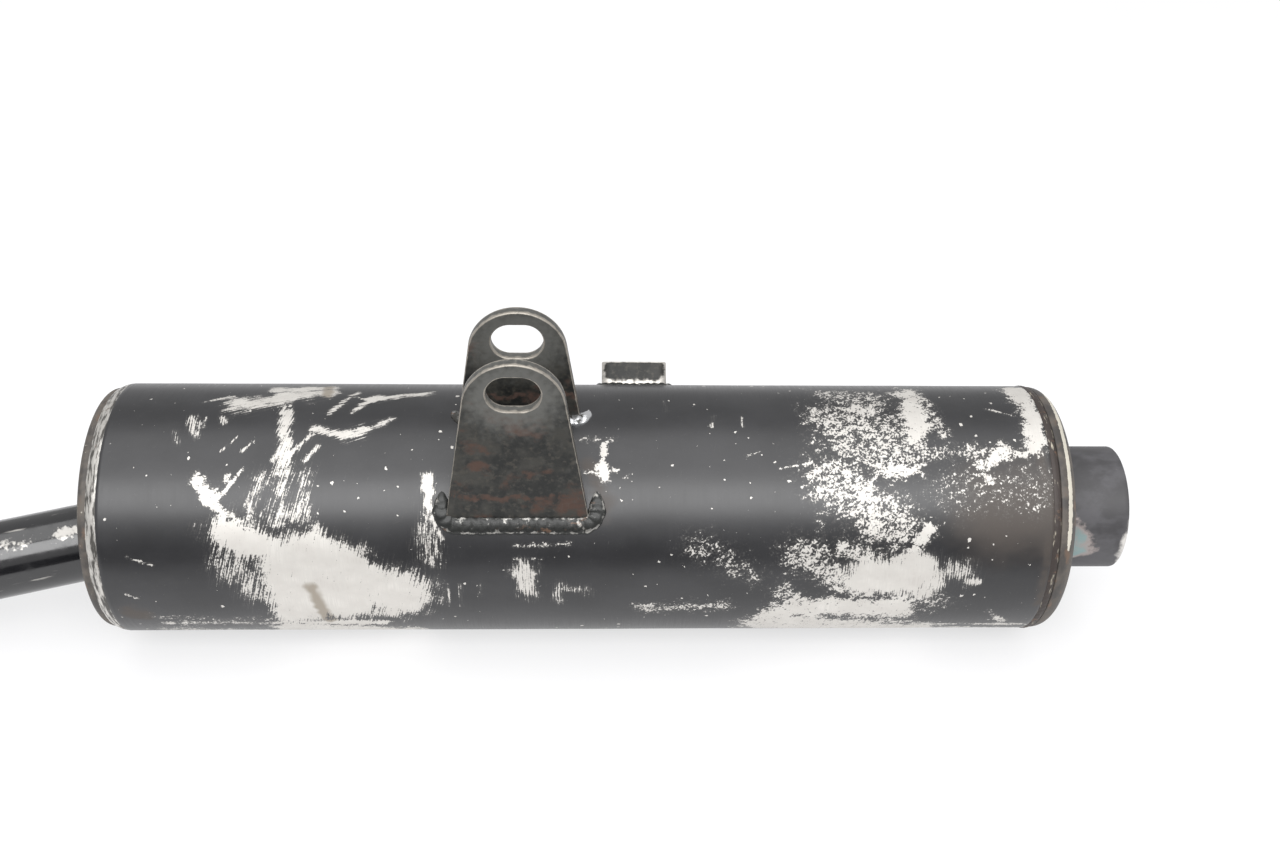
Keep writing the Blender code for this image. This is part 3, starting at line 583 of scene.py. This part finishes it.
def make_bead_finish(name, dark, light, low, high, grain_size, rough):
    """Weld metal: paint left in the hollows and steel on the crowns, and bright steel where
    the piece's attribute asks for it: rubbed steel, and a painted highlight along some
    beads' edges. The two levels say how much of it is made bright."""
    made, tree, shader = new_finish(name)
    place = add(tree, "TexCoord", out="Object")
    laid = add(tree, "Mapping", LAID, {"Vector": place, "Scale": grain_size})
    mottle = add(tree, "TexNoise", None,
                 {"Vector": laid, "Scale": 1.0, "Detail": 5.0, "Roughness": 0.6})
    # Along a bead's edges this bright share is a painted highlight; at its ends it is rubbed steel.
    rubbed = wear(tree, "glint", mottle, 1.0, low, high)
    rusted = patches(tree, place, (0.006, 0.004, 0.004), 5.0, 0.60, 0.70)
    grain = add(tree, "TexNoise", None, {"Vector": place, "Scale": 1400.0, "Detail": 3.0})
    wire(tree, shader, {
        "Base Color": coats(tree, dark, (rubbed, light), (rusted, "#5f4a3c")),
        "Roughness": rough,
        "Metallic": add(tree, "Mix", None, {0: rubbed, 2: 0.2, 3: 0.85}),
        "Normal": add(tree, "Bump", None, {"Height": grain, "Strength": 0.3, "Distance": 0.0002}),
    })
    return made


def make_sooty_steel():
    """Mild steel inside the can: blue-grey sheet under a coat of soot."""
    made, tree, shader = new_finish("sooty_mild_steel")
    place = add(tree, "TexCoord", out="Object")
    soot = patches(tree, place, (0.012, 0.012, 0.012), 5.0, 0.35, 0.65)
    wire(tree, shader, {
        "Base Color": coats(tree, "#6a6763", (soot, "#26231f")),
        "Roughness": add(tree, "Mix", None, {0: soot, 2: 0.42, 3: 0.85}),
        "Metallic": add(tree, "Mix", None, {0: soot, 2: 0.9, 3: 0.1}),
    })
    return made


ALONG_SEAM = (0.0012, 0.0075, 0.0075)
FINE = (0.0030, 0.0030, 0.0030)
shell_paint = make_shell_paint()
cap_paint = make_cap_paint()
pipe_paint = make_pipe_paint()
outlet_paint = make_outlet_paint()
plate_finish = make_plate_finish(
    "rusting_hot_rolled_plate", "#1e1f1e", "#353430", 0.53, "#a8a299")
lug_finish = make_plate_finish(
    "chipped_paint_on_plate", "#1b1b1a", "#2b2a28", 0.80, "#d6d2cc")
seam_finish = make_bead_finish(
    "rubbed_seam_weld", "#474542", "#cfccc7", 0.42, 0.58, ALONG_SEAM, 0.42)
browned_finish = make_bead_finish(
    "browned_seam_weld", "#3a3330", "#b5ae9f", 0.58, 0.66, ALONG_SEAM, 0.55)
ear_bead_finish = make_bead_finish(
    "painted_bracket_weld", "#262726", "#a4a29e", 0.60, 0.74, FINE, 0.38)
blob_finish = make_bead_finish(
    "bright_bracket_weld", "#3a3936", "#cfd0d2", 0.46, 0.58, FINE, 0.27)
sooty_steel = make_sooty_steel()


# Pieces -----------------------------------------------------------------------------

def make_shell():
    """Rolled shell: a closed section, outside, rounded edges and bore, carried round.
    The sheet is swollen and dented by up to a tenth of a millimetre."""
    edge = 0.0004
    inner = RADIUS - SHELL_WALL
    profile = [(station, RADIUS) for station in np.linspace(edge, LENGTH - edge, 276)]
    profile += [(LENGTH, RADIUS - edge), (LENGTH, inner)]
    profile += [(station, inner) for station in np.linspace(LENGTH - edge, edge, 7)]
    profile += [(0.0, inner), (0.0, RADIUS - edge)]
    # Columns lie closest on the near side, where the wear is finest.
    angles = np.radians(np.concatenate([
        np.linspace(-60, -40, 10, endpoint=False),
        np.linspace(-40, 136, 245, endpoint=False),
        np.linspace(136, 300, 77, endpoint=False),
    ]))
    along, radius = columns(profile)
    station, arc_length = np.broadcast_arrays(along, angles * RADIUS)
    dent = value_noise(station / 0.048, arc_length / 0.045 + 9.0, 3) - 0.5
    dent = dent + 0.4 * (value_noise(station / 0.021, arc_length / 0.024 + 9.0, 4) - 0.5)
    fade = share_of(np.minimum(station, LENGTH - station) / 0.02)
    points = round_axis(FRONT + station, radius + 0.00018 * dent * fade, angles)
    levels = {
        kind: paint_gone(station, arc_length, strokes,
                         SOFTEST_BROWN if kind == "browned" else SOFTEST_WEAR)
        for kind, strokes in STROKES.items()
    }
    run = np.append(along, along[0])
    round_can = np.append(angles, angles[0] + TAU) * RADIUS
    sheet = np.stack(np.broadcast_arrays(run[:, None], round_can), axis=-1)
    stand_in("shell", "shell_paint", "shell_sheet", points, shell_paint,
             sheet=sheet, **levels)


def inlet_centre(height):
    """Where the leaning pipe's centre is at a height in front of the cap's face."""
    return np.array(INLET_CROSSING) - height * np.array([INLET_LEAN_Y, INLET_LEAN_Z])


SLOPE = math.hypot(INLET_LEAN_Y, INLET_LEAN_Z)
LEAN = math.atan(SLOPE)
SIDE = np.array([-INLET_LEAN_Y, -INLET_LEAN_Z]) / SLOPE


def leaning_ring(height, radius, angles):
    """(depth, height) points of the pipe's oblique section at a height in front of the
    cap's face: a circle stretched along its lean by one over the cosine."""
    around = outward(angles)
    stretch = 1.0 / math.cos(LEAN) - 1.0
    around = around + stretch * (around @ SIDE)[:, None] * SIDE
    return inlet_centre(height) + radius * around


def make_front_cap():
    """Pressed cup: its face runs from the pipe's oval hole to the round rim, in blends
    of the two outlines, and the rim's corner and the flange are turned."""
    angles = ring(180)
    corner, inner = FRONT_CAP_ROUND, FLANGE_RADIUS - CAP_WALL
    rings, worn = [], []

    def add_ring(station, pairs, rubbed=0.0):
        x = np.full((len(angles), 1), FRONT + station)
        rings.append(np.concatenate([x, pairs[:, :1], AXIS_Z + pairs[:, 1:]], axis=1))
        worn.append(np.full(len(angles), rubbed))

    def add_face(height, rim, shares):
        hole = leaning_ring(height - FRONT_CAP_REACH, INLET_RADIUS + GAP, angles)
        for share in shares:
            pairs = hole * (1.0 - share) + rim * outward(angles) * share
            add_ring(-height - 0.0006 * math.sin(math.pi * share), pairs)

    add_face(FRONT_CAP_REACH, FLANGE_RADIUS - corner, np.linspace(0.0, 1.0, 16))
    centre = (FRONT_CAP_REACH - corner, FLANGE_RADIUS - corner)
    for height, radius in arc(centre, corner, 0.0, 90.0, 9)[1:]:
        add_ring(-height, radius * outward(angles), 0.33)
    for station in (-0.0030, 0.0010, CAP_DEPTH):
        add_ring(station, FLANGE_RADIUS * outward(angles), 0.25)
    for station in (CAP_DEPTH, -0.0040):
        add_ring(station, inner * outward(angles))
    add_face(FRONT_CAP_REACH - CAP_WALL, inner - 0.0005, np.linspace(1.0, 0.0, 9))
    stand_in("front_end_cap", "cap_paint", "front_cap_cup", rings, cap_paint, worn=worn)


def make_rear_cap():
    """Pressed cup turned about the axis: hole, face, round shoulder, groove, flange.
    Its shoulder is rubbed along a strip on the near side and a little lower down."""
    outer, corner = REAR_CAP_REACH, REAR_CAP_ROUND
    rim = RADIUS - GAP
    hole = OUTLET_RADIUS + GAP
    inner = FLANGE_RADIUS - CAP_WALL
    angles = ring(240)
    profile = [(outer + 0.0004 * math.sin(math.pi * t), hole + (rim - corner - hole) * t)
               for t in np.linspace(0.0, 1.0, 10)]
    profile += arc((outer - corner, rim - corner), corner, 0.0, 90.0, 20)[1:]
    profile += [(REAR_GROOVE + 0.0003, rim), (REAR_GROOVE, rim - 0.0003)]
    profile += [(REAR_GROOVE, FLANGE_RADIUS), (-CAP_DEPTH, FLANGE_RADIUS), (-CAP_DEPTH, inner)]
    profile += arc((outer - corner, inner - corner + CAP_WALL), corner - CAP_WALL, 90.0, 0.0, 8)
    profile += [(outer - CAP_WALL, hole)]
    station, radius = columns(profile)
    turn = from_top(angles)
    slope = np.degrees(np.arctan2(station - (outer - corner), radius - (rim - corner)))
    strip = 1.0 - share_of(np.abs(slope - 30.0 + 0.10 * (turn - 40.0)) / 11.0)
    ends = share_of((turn + 35.0) / 12.0) * share_of((78.0 - turn) / 14.0)
    lower = 0.45 * share_of(1.0 - np.abs(turn - 105.0) / 25.0)
    lower = lower * share_of(1.0 - np.abs(slope - 12.0) / 14.0)
    worn = np.where(radius > rim - corner, np.maximum(1.15 * strip ** 0.5 * ends, lower), 0.0)
    stand_in("rear_end_cap", "cap_paint", "rear_cap_cup",
             round_axis(FRONT + LENGTH + station, radius, angles), cap_paint, worn=worn)


def make_seam_weld(name, node, start, end, low, high, ripple, finish):
    """Bead round a seam: its section rises from one radius to the other with a crown,
    and runs of puddles about 3 mm long ripple it as it goes round."""
    puddle = 0.0030
    angles = ring(480)
    share = np.linspace(0.0, 1.0, 11)[:, None]
    phase = angles * RADIUS / puddle + 0.5 * (share - 0.5) ** 2
    puddles = np.abs(np.sin(np.round(TAU * RADIUS / puddle) * angles / 2.0))
    lumps = value_noise(phase * 0.45, share * 2.0 + 0.0 * phase, 11) - 0.5
    crown = 0.0003 + ripple * (puddles - 0.6 + 1.4 * lumps)
    radius = low + (high - low) * share + crown * np.sin(math.pi * share)
    radii = np.concatenate([radius, np.full((2, len(angles)), FLANGE_RADIUS + GAP)])
    stations = np.concatenate([start + (end - start) * share, [[end], [start]]])
    stand_in(node, "weld_bead", name, round_axis(FRONT + stations, radii, angles), finish)


def make_inlet_pipe():
    """Bent pipe: a straight run, a bend to the lean, the leaning run and a bend back,
    as one centre line, with the tube's section carried along it and round."""
    bend = np.linspace(0.0, LEAN, 14)
    first = np.stack([INNER_RUN + INNER_BEND * np.sin(bend), INNER_BEND * (1 - np.cos(bend))], -1)
    run = np.array([math.cos(LEAN), math.sin(LEAN)])
    second = first[-1] + np.linspace(0.05, 1.0, 20)[:, None] * LEANING_RUN * run
    left = LEAN - bend[1:]
    third = second[-1] + OUTER_BEND * np.stack(
        [math.sin(LEAN) - np.sin(left), np.cos(left) - math.cos(LEAN)], axis=-1)
    last = third[-1] + np.stack([np.linspace(0.1, 1.0, 10) * END_RUN, np.zeros(10)], axis=-1)
    line = evenly(np.concatenate([[[0.0, 0.0]], first, second, third, last]), 0.0016)

    # The line starts behind the cap's face and crosses it at the hole's middle.
    behind = CAP_WALL - FRONT_CAP_REACH + 0.0100
    crossing = INNER_BEND * (1.0 - math.cos(LEAN)) + (behind + FRONT_CAP_REACH) * math.tan(LEAN)
    base = np.array(INLET_CROSSING) - crossing * SIDE
    start_x = FRONT + behind + INNER_BEND * math.sin(LEAN) + INNER_RUN

    # Rows go out along the outside and back along the bore, with softened lips.
    ahead = np.gradient(line, axis=0)
    ahead = ahead / np.linalg.norm(ahead, axis=1, keepdims=True)
    order = np.concatenate([np.arange(len(line)), np.arange(len(line))[::-1]])
    radius = np.repeat([INLET_RADIUS, INLET_RADIUS - TUBE_WALL], len(line))[:, None]
    lip = 0.0005
    radius[[0, len(line) - 1]] -= lip
    radius[[len(line), -1]] += lip
    angles = ring(96)
    middle, way = line[order], ahead[order]
    offset, lift = radius * np.cos(angles), radius * np.sin(angles)
    x = start_x - middle[:, :1] + way[:, 1:] * offset
    aside = middle[:, 1:] + way[:, :1] * offset
    y = base[0] + aside * SIDE[0] - lift * SIDE[1]
    z = AXIS_Z + base[1] + aside * SIDE[1] + lift * SIDE[0]

    # The upper side is rubbed for some 70 mm in front of the cap.
    turn = from_top(angles)
    out_front = FRONT - FRONT_CAP_REACH - x
    ragged = value_noise(out_front / 0.0080 + 20.0, turn / 14.0 + 20.0, 15)
    fade = share_of(out_front / 0.004) * share_of((0.075 - out_front) / 0.020)
    rubbed = (0.22 + 0.55 * ragged) * np.exp(-((turn + 78.0) / 13.0) ** 2) * fade
    rubbed = rubbed * (radius > INLET_RADIUS - TUBE_WALL / 2.0)
    stand_in("inlet_pipe", "pipe_paint", "inlet_pipe_tube", np.stack([x, y, z], axis=-1),
             pipe_paint, rubbed=rubbed)


def fillet(leg):
    """Section of a fillet bead as (out, up) pairs: a slightly full curve from leg up
    the tube to leg out along the face, then back through the corner."""
    share = np.linspace(0.0, 1.0, 12)
    full = 0.16 * leg * np.sin(math.pi * share)
    curve = np.stack([leg * share + full, leg * (1.0 - share) + full], axis=-1)
    return np.concatenate([curve, [[leg, -0.0002], [0.0, -0.0002]]])


def fillet_swell(angles, waves, lumps, seed):
    """How a fillet swells with its puddles as it goes round, and at random."""
    puddles = np.abs(np.sin(angles * waves))
    return 0.92 + 0.14 * puddles + 0.2 * (value_noise(angles * lumps, angles * 0, seed) - 0.5)


def make_inlet_weld():
    """Fillet round the leaning pipe, rippled every 3 mm or so."""
    angles = ring(200)
    swell = fillet_swell(angles, 17.0, 4, 5)
    rings = []
    for out, up in fillet(0.0046):
        pairs = leaning_ring(max(up, 0.0), INLET_RADIUS + GAP, angles)
        away = pairs - inlet_centre(max(up, 0.0))
        away = away / np.linalg.norm(away, axis=1, keepdims=True)
        pairs = pairs + away * (out * swell)[:, None]
        x = FRONT - FRONT_CAP_REACH - up * swell
        rings.append(np.stack([x, pairs[:, 0], AXIS_Z + pairs[:, 1]], axis=-1))
    stand_in("inlet_weld", "weld_bead", "inlet_weld_fillet", rings, seam_finish)


def make_outlet_tube():
    """Plain turned tube: out along the outside, round the lip with a small radius, back
    along the bore and round the other lip. It is burnt low on the near side."""
    start, end = OUTLET_LOW[0] - FRONT, OUTLET_HIGH[0] - FRONT
    lip, rows = 0.0006, 90
    bore = OUTLET_RADIUS - TUBE_WALL
    section = [(station, OUTLET_RADIUS) for station in np.linspace(start + lip, end - lip, rows)]
    section += arc((end - lip, OUTLET_RADIUS - lip), lip, 90, 0, 4)[1:]
    section += arc((end - lip, bore + lip), lip, 0, -90, 4)[:-1]
    section += [(station, bore) for station in np.linspace(end - lip, start + lip, rows // 2)]
    section += arc((start + lip, bore + lip), lip, -90, -180, 4)[1:]
    section += arc((start + lip, OUTLET_RADIUS - lip), lip, 180, 90, 4)[:-1]
    angles = ring(144)
    station, radius = columns(section)
    points = round_axis(FRONT + station, radius, angles)
    outside = radius > OUTLET_RADIUS - 0.0007

    turn = from_top(angles)
    past_cap = FRONT + station - (SHELL_HIGH[0] + REAR_CAP_REACH) + 0.0 * turn
    edge = 0.0040 + 0.0120 * np.exp(-((turn - 90.0) / 24.0) ** 2)
    edge = edge + 0.0040 * (value_noise(turn / 9.0, 0.0 * turn + 3.0, 8) - 0.5)
    burnt = share_of((edge - past_cap) / 0.009 + 0.45)
    ragged = 0.70 + 0.60 * value_noise(turn / 8.0 + 40.0, past_cap / 0.0030 + 20.0, 9)
    burnt = burnt * ragged * np.exp(-((turn - 84.0) / 36.0) ** 2) * outside
    mouth = OUTLET_HIGH[0] - SHELL_HIGH[0] - REAR_CAP_REACH
    low_side = np.exp(-((turn - 95.0) / 30.0) ** 2)
    worn = share_of(1.0 - (mouth - past_cap) / (0.0012 + 0.0050 * low_side))
    worn = worn * (0.35 + 0.5 * low_side) * outside
    stand_in("outlet_tube", "pipe_paint", "outlet_tube_pipe", points, outlet_paint,
             burnt=burnt, worn=worn)


def make_outlet_weld():
    """Fillet round the outlet tube's root."""
    angles = ring(200)
    swell = fillet_swell(angles, 26.0, 5, 6)
    out, up = fillet(0.0030).T[:, :, None]
    points = round_axis(SHELL_HIGH[0] + REAR_CAP_REACH + up * swell,
                        OUTLET_RADIUS + GAP + out * swell, angles)
    stand_in("outlet_weld", "weld_bead", "outlet_weld_fillet", points, browned_finish)


def ear_reach(angles, y):
    """Distance from the slot's middle to the ear's outline along each angle: the least
    of the round top, the two tapered sides tangent to it, and the can below. Also
    where the can is the nearest."""
    across, up = np.cos(angles), np.sin(angles)
    drop = EAR_TOP - EAR_TOP_RADIUS - EAR_FOOT_Z
    tangent = math.acos(EAR_TOP_RADIUS / math.hypot(EAR_HALF_WIDTH, drop))
    tangent -= math.atan2(drop, EAR_HALF_WIDTH)
    # The round top's centre is this far below the slot's middle.
    below = SLOT_Z - (EAR_TOP - EAR_TOP_RADIUS)
    along = -up * below
    circle = along + np.sqrt(np.maximum(along ** 2 + EAR_TOP_RADIUS ** 2 - below ** 2, 0.0))
    facing = np.abs(across) * math.cos(tangent) + up * math.sin(tangent)
    side = (EAR_TOP_RADIUS - below * math.sin(tangent)) / np.maximum(facing, TINY)
    side = np.where(facing > TINY, side, 1.0)
    taper = np.where(side * up < EAR_TOP_RADIUS * math.sin(tangent) - below, side, circle)
    floor = SLOT_Z - math.sqrt((RADIUS + GAP) ** 2 - y ** 2)
    down = np.where(up < -TINY, floor / np.maximum(-up, TINY), 1.0)
    return np.minimum(taper, down), down < taper


def slot_reach(angles):
    """Distance from the slot's middle to its obround edge along each angle."""
    across, up = np.abs(np.cos(angles)), np.abs(np.sin(angles))
    flat = SLOT_RADIUS / np.maximum(up, TINY)
    end = SLOT_HALF * across + np.sqrt(np.maximum(SLOT_RADIUS ** 2 - (SLOT_HALF * up) ** 2, 0.0))
    return np.where(flat * across <= SLOT_HALF, flat, end)


def make_ear(side):
    """Ear plate: a closed section from the slot's edge out over the face, round the
    edge, back over the far face and through the slot, at each angle round the slot."""
    face_y = EAR_FACES[side]
    angles = ring(288) + 0.5 * TAU / 288
    corner = math.atan2(EAR_FOOT_Z - SLOT_Z, EAR_HALF_WIDTH)
    angles = np.sort(np.concatenate([angles, [corner % TAU, (math.pi - corner) % TAU]]))
    far, edge = EAR_THICKNESS, 0.0006
    near_slot = slot_reach(angles)
    rows, rim, band, washer = [], [], [], []

    def outline(y):
        return ear_reach(angles, face_y + y)[0]

    def add_row(y, distance, rubbed):
        out, at_foot = ear_reach(angles, face_y + y)
        x, z = np.cos(angles) * distance, SLOT_Z + np.sin(angles) * distance
        rows.append(np.stack([EAR_X + x, np.full(len(angles), face_y + y), AXIS_Z + z], axis=-1))
        rim.append(np.where(at_foot & (distance > 0.8 * out), 0.0, rubbed))
        height = z - math.sqrt(RADIUS ** 2 - face_y ** 2)
        wave = 0.0030 * (value_noise(x / 0.006 + 9.0, 0.0 * angles, 7) - 0.5)
        band.append(0.62 * share_of(1.0 - np.abs(height - 0.0110 - wave) / 0.0046))
        # Lighter grey within 15 mm of the slot's edge, near the ear's top.
        washer.append(share_of(1.0 - (distance - near_slot) / 0.0150))

    def add_face(y, shares):
        inner, outer = near_slot + edge, outline(y) - edge
        for share in shares:
            nearest = min(share, 1.0 - share)
            add_row(y, inner + (outer - inner) * share, 0.55 * max(0.0, 1.0 - nearest / 0.06))

    shares = np.concatenate([[0.0, 0.03, 0.08, 0.18, 0.30, 0.42, 0.52, 0.60],
                             np.linspace(0.66, 0.96, 11), [0.98, 1.0]])
    quarter = np.radians(np.linspace(0.0, 90.0, 5))
    short, long = edge * (1 - np.sin(quarter)), edge * (1 - np.cos(quarter))
    for y, inset in zip(short[:-1], long[:-1]):
        add_row(y, near_slot + inset, 0.95)
    add_face(0.0, shares)
    for y, inset in zip(long[1:], short[1:]):
        add_row(y, outline(0.0) - inset, 0.95)
    for y in (0.4 * far, 0.7 * far):
        add_row(y, outline(y), 0.46)
    for y, inset in zip(short[:-1], long[:-1]):
        add_row(far - y, outline(far) - inset, 0.95)
    add_face(far, shares[::-1])
    for y, inset in zip(long[1:], short[1:]):
        add_row(far - y, near_slot + inset, 0.95)
    for y in (0.7 * far, 0.4 * far):
        add_row(y, near_slot, 0.55)
    stand_in(f"bracket_ear_{side}", "ear_steel", f"ear_plate_{side}", rows, plate_finish,
             rim=rim, rust_band=band, washer=washer)


def foot_line(left, right, front_angle, back_angle, corner):
    """U-shaped line on the can's side: down one end of a foot, along it and up the
    other end, with rounded corners, as x and angle."""
    start = np.radians(np.linspace(180.0, 270.0, 9))
    end = np.radians(np.linspace(270.0, 360.0, 9))
    bends = np.concatenate([start, end])
    middles = np.repeat([corner - left, right - corner], 9)
    x = np.concatenate([[-left], middles + corner * np.cos(bends), [right]])
    drop = corner / RADIUS
    angle = front_angle - drop - drop * np.sin(bends)
    angle = np.concatenate([[back_angle], angle, [back_angle]])
    line = evenly(np.stack([x, angle * RADIUS], axis=-1), 0.0004)
    return line[:, 0], line[:, 1] / RADIUS


def make_ear_weld(side, left, right, spread, width, height, past, finish, seed, glints):
    """Bead round an ear's foot: it lies on the can, climbs the plate and tapers off past
    its back face. Its three numbers give a painted highlight along both its edges, and
    how bright it is rubbed at its left end and at its right end."""
    face_y = EAR_FACES[side]
    front = math.asin(-face_y / RADIUS) + spread / RADIUS
    back = math.asin(-(face_y + EAR_THICKNESS) / RADIUS) - past / RADIUS
    x, angle = foot_line(left, right, front, back, 0.0060)
    centres, outs = on_can(EAR_X + x, angle)
    points = bead_surface(centres, outs, width, height, 0.0010, 0.0036, seed, taper=0.0070)
    # Painted highlight: bright steel colour laid along both flanks of the bead, where glints catch the
    # light.
    edges = np.exp(-((np.abs(np.cos(ring(BEAD_SIDES))) - 0.78) / 0.13) ** 2)[None, :]
    ends = np.interp(x, [-left, -0.5 * left, 0.5 * right, right], [glints[1], 0.0, 0.0, glints[2]])
    stand_in(f"ear_weld_{side}", "weld_bead", f"ear_weld_bead_{side}", points, finish,
             wrap_rows=False, glint=glints[0] * edges + ends[:, None])


def make_lug():
    """Stop lug: rings of a rounded rectangle, stacked out from the can, closed over the
    top and below by rings that shrink to a point."""
    angles = ring(96)
    corner = 0.0007
    foot = np.array([LUG_X, 0.0, AXIS_Z])
    out = np.array([0.0, -math.sin(LUG_ANGLE), math.cos(LUG_ANGLE)])
    across = np.array([0.0, math.cos(LUG_ANGLE), math.sin(LUG_ANGLE)])

    def outline(inset):
        half = np.array([LUG_WIDTH / 2.0 - inset, LUG_THICKNESS / 2.0 - inset])
        way = np.stack([np.cos(angles), np.sin(angles)], axis=-1)
        flat = way * np.min(half / np.maximum(np.abs(way), TINY), axis=1, keepdims=True)
        over = np.maximum(np.abs(flat) - half + corner, 0.0)
        past = np.linalg.norm(over, axis=1, keepdims=True)
        shrink = np.where(past > corner, corner / np.maximum(past, TINY), 1.0)
        return (np.sign(flat) * (np.abs(flat) - over * (1 - shrink))).T

    top = RADIUS + LUG_REACH
    turn = np.radians(np.linspace(0.0, 90.0, 6))
    levels = [(RADIUS - 0.0008, 0.0, 0.0)]
    levels += [(level, 0.0, float(np.clip(1.0 - (level - RADIUS - 0.0025) / 0.0040, 0.1, 1.0)))
               for level in np.linspace(RADIUS, top - corner, 20)]
    levels += [(top - corner + corner * math.sin(a), corner * (1 - math.cos(a)), 0.95)
               for a in turn[1:]]
    rows, rim = [], []
    for level, inset, rubbed in levels:
        x, t = outline(inset)
        rows.append(foot + level * out + t[:, None] * across + x[:, None] * np.array([1.0, 0.0, 0.0]))
        ends = share_of((np.abs(x) - LUG_WIDTH / 2.0 + 0.0042) / 0.0034)
        rim.append(np.maximum(rubbed, ends))
    last = rows[-1]
    for share in (0.6, 0.0):
        rows.append(foot + top * out + share * (last - foot - top * out))
        rim.append(np.full(len(angles), 0.5))
    rows.insert(0, np.tile(rows[0].mean(axis=0), (len(angles), 1)))
    rim.insert(0, np.zeros(len(angles)))
    stand_in("stop_lug", "ear_steel", "stop_lug_plate", rows, lug_finish,
             wrap_rows=False, rim=rim)

    beyond = 0.0008
    spread = (LUG_THICKNESS / 2.0 + beyond) / RADIUS
    half = LUG_WIDTH / 2.0 + beyond
    x, angle = foot_line(half, half, LUG_ANGLE + spread, LUG_ANGLE - spread, 0.0012)
    points = bead_surface(*on_can(LUG_X + x, angle), 0.0022, 0.0020, 0.0008, 0.0030, 31)
    stand_in("lug_weld", "weld_bead", "lug_weld_bead", points, ear_bead_finish, wrap_rows=False)


make_shell()
make_front_cap()
make_rear_cap()
make_seam_weld("front_seam_bead", "front_seam_weld", -0.0040, 0.0006,
               FLANGE_RADIUS + GAP, RADIUS, 0.00011, seam_finish)
make_seam_weld("rear_seam_bead", "rear_seam_weld", LENGTH - 0.0006, LENGTH + REAR_GROOVE - GAP,
               RADIUS, RADIUS - 0.0003, 0.00012, browned_finish)
make_inlet_pipe()
make_inlet_weld()
make_outlet_tube()
make_outlet_weld()
make_ear("outer")
make_ear("inner")
make_ear_weld("outer", 0.0288, 0.0304, 0.0022, 0.0035, 0.0014, 0.0034, ear_bead_finish, 21,
              (0.17, -0.04, 0.03))
make_ear_weld("inner", 0.0258, 0.0272, 0.0010, 0.0032, 0.0021, 0.0, blob_finish, 22,
              (0.0, -0.12, 0.16))
make_lug()

for node in ("core_tube", "core_plug", "front_baffle", "middle_baffle", "rear_baffle",
             "transfer_tube_near", "transfer_tube_far"):
    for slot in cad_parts[node].material_slots:
        slot.material = sooty_steel


# Floor, light and camera ------------------------------------------------------------

def stage(name, corners, faces, finish):
    """Flat faces that belong to the studio and not to the muffler."""
    mesh = bpy.data.meshes.new(name)
    mesh.from_pydata(corners, [], faces)
    mesh.materials.append(finish)
    made = put(name, mesh)
    return made


def make_floor():
    """Pale, flat, translucent sheet lit a little from below, with a faint tooth."""
    made, tree, shader = new_finish("pale_opal_sheet")
    tooth = patches(tree, add(tree, "TexCoord", out="Object"), (0.4, 0.4, 0.4), 3.0, 0.3, 0.7)
    wire(tree, shader, {
        "Base Color": coats(tree, "#9a9a9c", (tooth, "#9e9e9f")), "Roughness": 0.9,
        "Emission Color": linear("#ffffff"), "Emission Strength": 0.62,
        "Specular IOR Level": 0.0,
    })
    half = 6.0
    corners = [(-half, -half, 0.0), (half, -half, 0.0), (half, half, 0.0), (-half, half, 0.0)]
    stage("paper_floor", corners, [(0, 1, 2, 3)], made)


def make_dark_card():
    """Dark card that only reflections see: it lies in front of the can and turns up, and
    gives glossy paint the dark band low on its near side."""
    made, tree, shader = new_finish("dark_card")
    wire(tree, shader, {"Base Color": linear("#0c0c0d"), "Roughness": 1.0,
                        "Specular IOR Level": 0.0})
    line = [(-0.225, 0.002), (-0.90, 0.002), (-1.0, 0.05), (-1.02, 0.24)]
    corners = [(x, y, z) for y, z in line for x in (-1.3, 1.3)]
    faces = [(2 * i, 2 * i + 1, 2 * i + 3, 2 * i + 2) for i in range(len(line) - 1)]
    card = stage("dark_card", corners, faces, made)
    card.visible_camera = False
    card.visible_diffuse = False
    card.visible_shadow = False
    card.visible_transmission = False


def make_softbox(name, raised, distance, length, breadth, energy):
    """Rectangular light at an elevation on the near side, turned to face the can."""
    box = bpy.data.lights.new(name, "AREA")
    box.shape = "RECTANGLE"
    box.size = length
    box.size_y = breadth
    box.energy = energy
    middle = Vector((0.0, 0.0, AXIS_Z))
    away = distance * Vector((0.0, -math.cos(raised), math.sin(raised)))
    turn = Matrix.Rotation(math.pi / 2.0 - raised, 4, "X")
    put(name, box).matrix_world = Matrix.Translation(middle + away) @ turn


def make_lights():
    """White surroundings, a long softbox above the near side and a broad one overhead."""
    world = bpy.data.worlds.new("studio")
    bpy.context.scene.world = world
    world.use_nodes = True
    wire(world.node_tree, world.node_tree.nodes["Background"],
         {"Color": linear("#ffffff"), "Strength": 0.58})
    make_softbox("near_softbox", math.radians(47.0), 2.0, 2.6, 1.05, 40.0)
    make_softbox("overhead_softbox", math.radians(88.0), 2.2, 2.8, 1.9, 26.0)


def make_camera():
    """Camera above the near side, looking down at the can and turned a little."""
    raised = math.radians(39.5)
    yaw, pitch = 0.0376, 0.0564
    distance, across = 0.5917, 0.04593
    camera = bpy.data.cameras.new("camera")
    camera.sensor_width = 36.0
    camera.lens = 39.68
    holder = put("camera", camera)
    look = Vector((math.sin(yaw) * math.cos(pitch), math.cos(yaw) * math.cos(pitch), math.sin(pitch)))
    right = Vector((math.cos(yaw), -math.sin(yaw), 0.0))
    tip = Matrix.Rotation(-raised, 3, "X")
    look, right = tip @ look, tip @ right
    turn = Matrix((right, right.cross(look), -look)).transposed().to_4x4()
    place = Vector((across, -distance * math.cos(raised), AXIS_Z + distance * math.sin(raised)))
    holder.matrix_world = Matrix.Translation(place) @ turn
    bpy.context.scene.camera = holder
    bpy.context.scene.view_settings.view_transform = "Standard"


make_floor()
make_dark_card()
make_lights()
make_camera()
